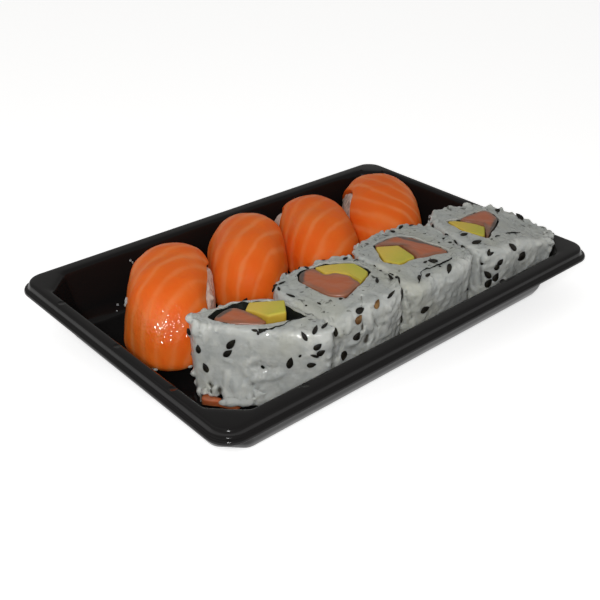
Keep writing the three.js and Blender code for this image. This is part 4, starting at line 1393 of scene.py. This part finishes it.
# %% [markdown]
# ### The loose piece of salmon
#
# A scrap of salmon has slipped under the near edge of the first roll.

# %% Loose salmon
scrap, points = filling_block("loose_salmon", closed_curve(SCRAP, 160), SCRAP_TOP, 0.2, 0.2,
                              60, filling_finish)
mark(scrap, "to_edge", np.full(len(points), 0.2))
mark(scrap, "to_skin_and_shade", np.zeros(len(points)))
hand_over(scrap, "filling", "salmon_scrap")

# %% [markdown]
# ## The nigiri
#
# A nigiri is a pressed block of rice with a slice of raw salmon draped over it. The slice is
# a shell on a superellipsoid: fuller than an egg, flatter than a box. Every point is known
# by its angle down from the crown and its turn round it, so the slice can end at a
# different angle on each side, as a slice laid by hand does.

# %% Nigiri form
NIGIRI = {  # place, heading from +Y towards +X, half length and width, top, wrap angles
    1: ((-53, 20.2), 35.5, (30.5, 16.6), 32.9, (122, 48, 104, 108)),
    2: ((-11.5, 27.2), 36.5, (28, 15.4), 31.2, (116, 106, 104, 98)),
    3: ((23.8, 25.2), 30, (29, 15.4), 29.5, (116, 106, 104, 102)),
    4: ((61.4, 25.2), 34.5, (29, 17.2), 29.4, (116, 106, 104, 98)),
}
NOTCHES = {3: (60, 22, 50), 4: (84, 34, 54)}  # turn, width and depth of a gap in the edge
SLICE_SWELLS = {  # across, down, radius, amount
    1: [(202, 256, 8, 1.3), (205, 272, 7, 0.5), (182, 246, 8, 0.4), (133, 262, 5, 0.5),
        (127, 344, 8, 1.3), (172, 369, 8, 0.8), (209, 298, 6, -1.0)],
    2: [(211, 250, 7, 1.3), (262, 219, 8, 0.8), (275, 227, 5, 0.8), (282, 240, 6, 0.5),
        (226, 223, 5, -0.4), (216, 288, 8, 1.2)],
    3: [(284, 206, 5, 0.7), (341, 208, 7, 0.7), (357, 240, 6, 0.7)],
    4: [(403, 186, 8, 0.9), (345, 186, 6, -0.9)],
}
WET = {1: [(156, 332, 9, 1.0), (180, 330, 4, 0.9), (172, 362, 5, 0.6)]}  # as the swells
RICE_SWELLS = {1: [(208, 272, 6, 1.2), (212, 296, 6, 0.4)], 3: [(277, 220, 4.5, 3.0)]}
RICE_INSET = {1: 0.8, 2: 1.7, 3: 1.3, 4: 1.5}
SLICE_THICKNESS, SLICE_EDGE = 4.2, 1.8
SQUARE_PLAN, SQUARE_SIDE = 2.35, 2.5
WAIST = 10


def power(value, exponent):
    return np.sign(value) * np.abs(value)**exponent


def dome(number, out, polar, turn):
    """Points on a nigiri's form, grown by a distance, in its own axes."""
    _, _, (half_length, half_width), top, _ = NIGIRI[number]
    spread = np.abs(np.sin(polar))**(2 / SQUARE_SIDE)
    rise = power(np.cos(polar), 2 / SQUARE_SIDE)
    height = np.where(rise > 0, top - WAIST + out, WAIST - FLOOR + out)
    return np.stack([(half_length + out) * spread * power(np.cos(turn), 2 / SQUARE_PLAN),
                     (half_width + out) * spread * power(np.sin(turn), 2 / SQUARE_PLAN),
                     np.maximum(WAIST + rise * height, STAND)], axis=-1)


def put_down(number, local):
    """Points from a nigiri's own axes in the tray."""
    (x, y), heading, _, _, _ = NIGIRI[number]
    angle = math.radians(90 - heading)
    turn = np.array([[math.cos(angle), math.sin(angle)], [-math.sin(angle), math.cos(angle)]])
    placed = local.copy()
    placed[..., :2] = local[..., :2] @ turn + np.array([x, y])
    return placed


def reach_down(number, turn):
    """How far down from the crown the slice reaches, in radians, at a turn round it."""
    near, right, far, left = NIGIRI[number][4]
    along = np.where(np.cos(turn) > 0, far, near)
    across = np.where(np.sin(turn) > 0, left, right)
    share = np.cos(turn)**2
    reach = along * share + across * (1 - share)
    if number in NOTCHES:
        middle, width, depth = NOTCHES[number]
        reach -= depth * np.exp(-((np.degrees(turn) - middle) / width)**2)
    return np.radians(reach)


# %% [markdown]
# ### Fat lines
#
# Fat lies between the bands of muscle, and those bands are arcs in the fillet. In the slice
# they are pale lines, about seven millimetres apart, that run on over its edges. To draw
# them the slice is laid flat again: each point gets the distance that it has from the
# crown, measured along the surface, in the direction in which it lies. In that flat map the
# lines are circles round a far centre, and the number of the circle is kept as an attribute
# that the finish reads. The same number cuts the shallow grooves in the mesh.

# %% Fat line map
FAT_LINES = {  # centre of the arcs in the flat map, radius of one of them, spacing
    1: ((-55, -55), 62.8, 6.9),
    2: ((-55.5, -76), 77.5, 7.5),
    3: ((-142, -150), 193.4, 7.5),
    4: ((20.9, -28.7), 42.3, 6.7),
}


def fat_number(number, local_rings):
    """Which arc each point lies on, as a number that is whole on a line of fat."""
    across = np.linalg.norm(local_rings[..., :2], axis=-1)
    steps = np.linalg.norm(np.diff(local_rings, axis=0), axis=-1)
    reach = across[:1] + np.concatenate([np.zeros((1, steps.shape[1])), np.cumsum(steps, axis=0)])
    direction = local_rings[..., :2] / np.maximum(across, 1e-6)[..., None]
    flat = direction * reach[..., None]
    centre, radius, spacing = FAT_LINES[number]
    away = np.linalg.norm(flat - np.array(centre), axis=-1)
    return (away - radius) / spacing


# %% Salmon finish
salmon_finish, tree, shader = new_finish(
    "raw_salmon", Roughness=0.6, Subsurface_Weight=0.35, Subsurface_Scale=0.002,
    Subsurface_Radius=(1.0, 0.3, 0.1), Specular_IOR_Level=0.15, Coat_Roughness=0.05,
    Coat_IOR=1.75)
place = own_place(tree)
line = marked(tree, "fat_line")
wander = patches(tree, place, 90, 2, 0.2, 0.8, -0.12, 0.12)
from_line = add(tree, "ShaderNodeMath", {0: plus(tree, line, wander), 1: 0.5},
                operation="PINGPONG").outputs[0]
width = patches(tree, place, 45, 1, 0.3, 0.7, 0.2, 0.34)
closeness = add(tree, "ShaderNodeMath", {0: from_line, 1: width}, operation="DIVIDE").outputs[0]
fat = between(tree, closeness, 0.05, 1.0, 1.0, 0.0)
fat = times(tree, fat, patches(tree, place, 60, 2, 0.3, 0.62, 0.2, 0.5))
flesh = blend_colours(tree, patches(tree, place, 50, 2, 0.35, 0.7),
                      (0.83, 0.137, 0.009, 1), (0.85, 0.17, 0.018, 1))
flesh = blend_colours(tree, between(tree, from_line, 0.25, 0.5, 0, 0.35), flesh,
                      (0.84, 0.12, 0.004, 1))
colour = blend_colours(tree, fat, flesh, (0.86, 0.3, 0.1, 1))
tree.links.new(colour, shader.inputs["Base Color"])
relief(tree, shader, cloud(tree, place, 700, 2), 0.00012)
tree.links.new(marked(tree, "wet"), shader.inputs["Coat Weight"])
relief(tree, shader, cloud(tree, place, 900, 0), 0.0006, "Coat Normal")
print("salmon finish nodes:", len(tree.nodes))

# %% [markdown]
# ### Slices
#
# The outer face has the most rows, then the shell turns round its edge and comes back on
# the inner face, thicker at the crown and thinner at the edge. Slow swells and the shallow
# grooves along the fat lines move the outer rows.

# %% Salmon slices
HIGHEST = 32.9
SLICE_COLUMNS = 220
OUTER_ROWS = 110


def slice_of(number):
    turn = np.linspace(0, 2 * math.pi, SLICE_COLUMNS, endpoint=False)
    ragged = np.radians(2.2) * ripple(np.column_stack([9 * np.cos(turn), 9 * np.sin(turn),
                                                       0 * turn]), 2.5, number)
    reach = reach_down(number, turn) + ragged
    outer_shares = np.concatenate([[JUST_OFF], np.linspace(0.02, 1, OUTER_ROWS)])
    inner_shares = np.array([0.985, 0.9, 0.75, 0.55, 0.3, 0.1, JUST_OFF])
    rings = []
    for share in outer_shares:
        eased = -0.6 * np.clip((share - 0.97) / 0.03, 0, 1)**2
        rings.append(dome(number, eased, share * reach, turn))
    rings.append(dome(number, -1.4, 1.006 * reach, turn))
    for share in inner_shares:
        out = SLICE_EDGE * share**4 - SLICE_THICKNESS
        rings.append(dome(number, out, share * reach, turn))
    rings = np.array(rings)
    outer = len(outer_shares)
    is_outer = (np.arange(len(rings)) < outer).astype(float)
    line = fat_number(number, rings[:outer])
    line = np.concatenate([line, np.repeat(line[-1:], len(rings) - outer, axis=0)])
    placed = put_down(number, rings)
    middle = np.array([*NIGIRI[number][0], WAIST])
    away = unit(placed - middle)
    flat = placed.reshape(-1, 3)
    swell = swells(flat, (0.5, 11, number), (0.25, 5, number + 5), (0.05, 1.8, number + 9))
    swell = swell.reshape(line.shape)
    near_line = np.abs(line - np.round(line))
    groove = -0.05 * np.exp(-(near_line / 0.12)**2)
    placed = placed + away * ((swell + groove) * is_outer[:, None])[..., None]
    points, faces = loft(placed[::-1])
    tree = tree_from(points, faces)
    points = swell_at(points, tree, SLICE_SWELLS[number])
    points[:, 2] = np.minimum(points[:, 2], HIGHEST)
    piece = make_piece(f"salmon_of_nigiri_{number}", keep_in_tray(points), faces, salmon_finish)
    mark(piece, "fat_line", line[::-1].reshape(-1))
    wet = np.full(len(points), 0.05)
    for x, y, radius, amount in WET.get(number, []):
        away = np.linalg.norm(points - seen_at([tree], x, y)[0], axis=1) / radius
        wet = np.maximum(wet, amount * np.exp(-away**2))
    mark(piece, "wet", wet)
    return piece


slices = {number: hand_over(slice_of(number), "salmon", f"nigiri_{number}_salmon")
          for number in NIGIRI}

# %% [markdown]
# ### Rice of a nigiri
#
# Only a strip of it shows below the slice. The core is the same form, smaller, and grains
# lie only where the slice doesn't cover it.

# %% Nigiri rice
def nigiri_rice(number):
    turn = np.linspace(0, 2 * math.pi, 120, endpoint=False)
    polars = np.radians(np.linspace(6, 150, 60))
    covered = reach_down(number, turn)
    inset = RICE_INSET[number]
    rings, bare = [], []
    for polar in polars:
        under = 1 / (1 + np.exp((polar - covered) * 60))
        rings.append(dome(number, -inset - (SLICE_THICKNESS - inset) * under, polar, turn))
        bare.append((polar > covered - 0.12).astype(float))
    points, faces = loft(put_down(number, np.array(rings))[::-1])
    points = swell_at(points, tree_from(points, faces), RICE_SWELLS.get(number, []))
    bare = np.array(bare)[::-1].reshape(-1)
    return (points, faces), bare


for number in NIGIRI:
    body, bare = nigiri_rice(number)
    flat = np.full(len(bare), 0.5)
    piece = melt_grains(f"rice_of_nigiri_{number}", body, bare, -2.2 * flat, flat, 50 + number,
                        stained_finish, 0.48, 4)
    move_points(piece, keep_in_tray(points_of(piece)))
    hand_over(piece, "rice", f"nigiri_{number}_rice")

# %% [markdown]
# ### Loose rice
#
# A few grains have come off: some stick to the first nigiri, two lie on the loose piece of
# salmon, and one has curled round a seed at the back of the last roll. They are laid by
# looking too.

# %% Loose rice
ON_SLICE = [  # across, down, turn, length, width
    (127, 301, 85, 2.6, 1.5), (126, 305, 60, 1.8, 1.2), (155, 369, 10, 3.2, 1.8),
    (190, 366, 20, 1.8, 1.2)]
ON_SCRAP = [(229, 402.6, 2, 6.8, 2.6), (241, 403, 175, 6.4, 2.6)]
SEED_RING = (427.5, 219.6, 4.6)  # across, down and radius in the frame
RING_STEP = 28  # degrees from grain to grain round that ring

loose = []
for support, places in ((slices[1], ON_SLICE), (scrap, ON_SCRAP)):
    tree = tree_of(support)
    for x, y, turn, length, width in places:
        place, outward = seen_at([tree], x, y)
        loose.append(pebble(place + 0.2 * outward, outward, lying(outward, x, y, turn),
                            (length / 2, width / 2, width * 0.4), 12, 14))
roll_trees = [tree_of(piece) for piece in rolls_of_rice.values()]
x, y, radius = SEED_RING
for turn in range(-30, 250, RING_STEP):
    spot = (x + radius * math.cos(math.radians(turn)), y - radius * math.sin(math.radians(turn)))
    place, outward = seen_at(roll_trees[3:], *spot)
    loose.append(pebble(place + 0.3 * outward, outward, lying(outward, *spot, turn + 90),
                        (0.75, 0.4, 0.4), 12, 14))
hand_over(make_piece("loose_rice", *gather(loose), rice_finish), "rice")

# %% [markdown]
# ## Sesame seeds
#
# A sesame seed is a flat drop three and a half millimetres long, blunt at one end and
# pointed at the other. Black ones are rolled into the rice, with a brown one here and
# there, and crumbs of them lie on the cut faces. One tree lays a seed on each spot, and
# reads from the spot's attributes how the seed lies and how big it is.

# %% Seed tree
def seed_shape(name, finish):
    """A flat drop, a unit long and wide, pointed at one end."""
    rings = []
    turn = np.linspace(0, 2 * math.pi, 10, endpoint=False)
    for share in (0.01, 0.08, 0.22, 0.42, 0.62, 0.8, 0.93, 0.99):
        girth = math.sin(math.pi * share**0.72)**0.75
        rings.append(np.stack([np.full(10, share - 0.5), 0.5 * girth * np.cos(turn),
                               0.5 * girth * np.sin(turn)], axis=1))
    points, faces = loft(rings)
    return make_piece(name, points / MM, faces, finish)


def seed_tree():
    group, given, result = new_tree("seeds", [("Seed Shape", "Object"), ("Finish", "Material")])
    shape = add(group, "GeometryNodeObjectInfo", {"Object": given.outputs["Seed Shape"]})
    upright = add(group, "FunctionNodeAlignRotationToVector",
                  {"Vector": named(group, "outward", "FLOAT_VECTOR")}, axis="Z")
    turned = add(group, "FunctionNodeAlignRotationToVector",
                 {"Rotation": upright.outputs[0],
                  "Vector": named(group, "along", "FLOAT_VECTOR")}, axis="X", pivot_axis="Z")
    laid = add(group, "GeometryNodeInstanceOnPoints",
               {"Points": given.outputs["Geometry"], "Instance": shape.outputs["Geometry"],
                "Rotation": turned.outputs[0], "Scale": named(group, "size", "FLOAT_VECTOR")})
    real = add(group, "GeometryNodeRealizeInstances", {"Geometry": laid.outputs[0]})
    finished = add(group, "GeometryNodeSetMaterial",
                   {"Geometry": real.outputs[0], "Material": given.outputs["Finish"]})
    group.links.new(finished.outputs[0], result.inputs[0])
    return group


def lay_seeds(name, spots, finish, tree):
    """One piece with a seed on each spot: its place, its two directions and its size."""
    piece = make_piece(name, [spot[0] for spot in spots], [], finish)
    for field, number in (("outward", 1), ("along", 2), ("size", 3)):
        mark(piece, field, [spot[number] for spot in spots], "FLOAT_VECTOR")
    shape = seed_shape(name + "_shape", finish)
    layer = piece.modifiers.new("seeds", "NODES")
    layer.node_group = tree
    layer[socket_of(tree, "Seed Shape")] = shape
    layer[socket_of(tree, "Finish")] = finish
    settle(piece)
    bpy.data.objects.remove(shape)
    return piece


# %% Seed finishes
def seed_finish(name, dark, light):
    finish, tree, shader = new_finish(name, Roughness=0.5, Specular_IOR_Level=0.2)
    place = own_place(tree)
    colour = blend_colours(tree, patches(tree, place, 500, 3, 0.4, 0.75), dark, light)
    tree.links.new(colour, shader.inputs["Base Color"])
    relief(tree, shader, cloud(tree, place, 2500, 2), 0.00015)
    return finish


black_seed = seed_finish("black_sesame", (0.005, 0.004, 0.003, 1), (0.022, 0.019, 0.011, 1))
brown_seed = seed_finish("brown_sesame", (0.1, 0.045, 0.014, 1), (0.24, 0.13, 0.045, 1))
print("seed finishes:", black_seed.name, brown_seed.name)

# %% [markdown]
# Seeds on the shown sides are laid by looking. A seed that lies aslant looks shorter and
# one that is farther away looks smaller, so both are made up for: the sizes given are those
# that a seed seems to have, at one set distance from the eye.

# %% Seed places
BLACK_SEEN = {  # across, down, turn, length, width
    1: [(231.2, 344, 48, 3.9, 2.3), (227.8, 353.3, 35, 3.3, 2.1), (198.3, 349, 95, 2.9, 1.7),
        (205.5, 367.5, 112, 3.4, 1.8), (189.2, 331.5, 120, 2.4, 1.8), (290, 362.8, 75, 3.7, 2.2),
        (311.5, 365, 10, 3.1, 1.7), (300.2, 355.8, 50, 1.2, 0.9), (314.5, 356, 165, 2.9, 1.0),
        (321, 352.8, 30, 3.1, 1.8), (317.8, 346.8, 40, 3.1, 2.0), (304.2, 336.2, 120, 3.6, 1.5),
        (315.2, 330, 70, 3.5, 1.6), (324.8, 325.6, 45, 2.9, 1.2), (258, 333, 100, 1.5, 0.9),
        (254.5, 330.5, 170, 2.2, 1.0), (261, 331.8, 20, 2.6, 0.9), (265, 330, 40, 1.8, 0.9)],
    2: [(335.7, 332, 90, 3.0, 1.5), (343.8, 355.8, 262, 3.3, 2.1), (357, 336.5, 60, 3.4, 2.1),
        (360, 310.5, 30, 3.0, 2.2), (391.2, 294.4, 48, 3.6, 1.1), (402.7, 295.5, 85, 3.4, 1.4),
        (408.5, 318.5, 65, 3.2, 1.4), (377, 280.2, 95, 2.4, 1.1), (378, 260, 130, 0.9, 0.6),
        (382, 265.2, 0, 0.8, 0.7), (395, 265.7, 155, 1.9, 0.8), (390.5, 277, 130, 2.5, 1.0),
        (396.8, 277.2, 60, 2.4, 1.3), (403.2, 276.5, 170, 2.5, 1.3), (405.2, 281, 130, 2.9, 1.5),
        (290.5, 295.5, 160, 3.2, 0.8), (319, 303.5, 150, 1.5, 0.7), (306.2, 305.6, 0, 0.8, 0.6),
        (341, 298.8, 10, 1.5, 0.7), (347, 296, 85, 2.2, 1.0), (352.3, 290.5, 140, 1.2, 0.8),
        (323.5, 292.5, 0, 0.9, 0.7), (286, 272.8, 20, 1.5, 0.9), (274.3, 288.3, 60, 2.6, 1.1),
        (278.8, 288.8, 105, 1.9, 1.0), (275.5, 285.5, 20, 1.6, 0.9), (282, 283, 25, 2.6, 0.7),
        (294, 268.5, 10, 1.3, 0.7), (299, 267.8, 10, 1.3, 1.0), (306.5, 264.3, 145, 1.9, 1.1),
        (322.3, 260.3, 15, 2.1, 1.0), (345.3, 258.8, 20, 1.8, 1.0), (355.5, 252.2, 10, 1.7, 1.1),
        (358.3, 254.5, 80, 1.7, 0.9)],
    3: [(449, 268.8, 260, 3.3, 1.7), (428, 275, 40, 1.8, 1.2), (419.3, 277, 88, 3.2, 1.2),
        (424.8, 309.5, 30, 3.3, 1.9), (432.6, 261, 175, 3.4, 1.2), (425.5, 262, 30, 1.3, 0.9),
        (446.8, 234.3, 45, 1.8, 1.2), (443.5, 238.8, 0, 0.8, 0.6), (456.5, 242, 120, 1.9, 1.3),
        (463.5, 245.6, 50, 2.3, 1.2), (440, 266.5, 0, 1.0, 0.5), (401, 227, 40, 1.7, 1.1),
        (411.5, 224.8, 20, 1.4, 0.8), (392.5, 231.5, 160, 1.6, 0.9), (471, 289.8, 80, 1.1, 0.7)],
    4: [(427.7, 220.3, 120, 2.8, 1.8), (432.7, 227.3, 85, 2.4, 1.1), (464.3, 234.5, 15, 2.4, 1.2),
        (477, 242.3, 20, 3.0, 1.6), (482, 263.8, 0, 1.2, 0.9), (487.3, 274.4, 135, 3.1, 1.9),
        (488.3, 283.2, 50, 3.2, 1.9), (495.6, 277.3, 60, 3.2, 1.8), (500.3, 262, 50, 2.5, 1.5),
        (497, 266.8, 70, 2.3, 1.5), (488.8, 252.5, 80, 2.3, 1.2), (491.2, 253.6, 30, 1.9, 1.0),
        (512.5, 246.8, 140, 3.1, 1.8), (521.4, 256, 60, 3.4, 2.2), (502.7, 281, 10, 2.2, 1.3),
        (497.3, 210.5, 160, 1.6, 1.2), (519.5, 216.5, 140, 3.0, 1.3)],
}
BROWN_SEEN = {2: [(358.8, 319.5, 60, 3.4, 2.1), (377, 304, 70, 3.3, 1.9)]}
SEED_THICKNESS = 0.42  # as a share of its width
SEED_SCALE_AT = 0.285  # the distance from the eye at which the sizes above hold, in metres


def seed_size(length, width):
    return length * MM, width * MM, width * SEED_THICKNESS * MM


def seen_spots(seen):
    spots = []
    for number, places in seen.items():
        for x, y, turn, length, width in places:
            place, outward = seen_at([roll_trees[number - 1]], x, y)
            along = lying(outward, x, y, turn)
            view = np.array(sight(x, y))
            farther = np.linalg.norm(place * MM - np.array(EYE)) / SEED_SCALE_AT
            length *= farther / max(np.linalg.norm(np.cross(along, view)), 0.6)
            width *= farther / max(np.linalg.norm(np.cross(np.cross(outward, along), view)), 0.6)
            spots.append((place + outward * 0.1, outward, along, seed_size(length, width)))
    return spots


print("seeds laid by looking:",
      sum(len(places) for seen in (BLACK_SEEN, BROWN_SEEN) for places in seen.values()))


# %% [markdown]
# On the sides that face away, spots are drawn at random from the faces of the rice, with a
# fixed seed, and kept only if they are on the outside and not too close together.

# %% Scattered seeds
SCATTERED_PER_ROLL = 24
SEED_SPACING = 3.4
FACES_TRIED = 4000
OUTER_LAYER = 2.2  # how deep inside the outline a seed may still lie


def scattered_spots(number, piece, draw):
    outline = closed_curve(ROLLS[number]["outline"], COLUMNS)
    centres = read(piece.data.polygons, "center") / MM
    normals = read(piece.data.polygons, "normal")
    away = normals @ np.array(towards_eye) < 0
    high = (centres[:, 2] > 3) & (centres[:, 2] < ROLL_HEIGHT - 1.5)
    picked = draw.permutation(np.flatnonzero(away & high))[:FACES_TRIED]
    _, gap = nearest_on(centres[picked], outline)
    spots = []
    for face in picked[gap < OUTER_LAYER]:
        place, outward = centres[face], normals[face]
        if all(np.linalg.norm(place - spot[0]) > SEED_SPACING for spot in spots):
            along = unit(np.cross(outward, draw.normal(size=3)))
            width = draw.uniform(1.5, 2.1)
            spots.append((place, outward, along, seed_size(draw.uniform(3.0, 3.7), width)))
        if len(spots) == SCATTERED_PER_ROLL:
            break
    return spots


draw = np.random.default_rng(7)
scattered = [spot for number, piece in rolls_of_rice.items()
             for spot in scattered_spots(number, piece, draw)]
seeds = seed_tree()
hand_over(lay_seeds("black_sesame", seen_spots(BLACK_SEEN) + scattered, black_seed, seeds),
          "sesame")
hand_over(lay_seeds("brown_sesame", seen_spots(BROWN_SEEN) + scattered[::17], brown_seed, seeds),
          "sesame")

# %% [markdown]
# ## Specks on the tray
#
# A few drops of water sit on the tray's inner wall, painted pale in the rice finish as
# highlights for their glints, and the mould has left two small pips in the far corner. A
# low dome on the wall is enough for each.

# %% Specks
SPECKS_PAINTED_AS_GLINTS = [(130.5, 260.5, 0.5), (132.5, 262.4, 0.42), (117.7, 304.8, 0.5), (116.9, 310.9, 0.35)]
PIPS = [(361.3, 170, 0.75), (382, 170.8, 0.75)]


def domes(places):
    wall = tree_of(tray)
    shapes = []
    for x, y, radius in places:
        place, outward = seen_at([wall], x, y)
        shapes.append(pebble(place, outward, lying(outward, x, y, 0),
                             (radius, radius, radius * 0.5), 7, 10))
    return gather(shapes)


# painted highlight: pale domes for the glints on drops of water
hand_over(make_piece("dried_specks", *domes(SPECKS_PAINTED_AS_GLINTS), rice_finish), "rice")
hand_over(make_piece("corner_pips", *domes(PIPS), plastic), "tray")
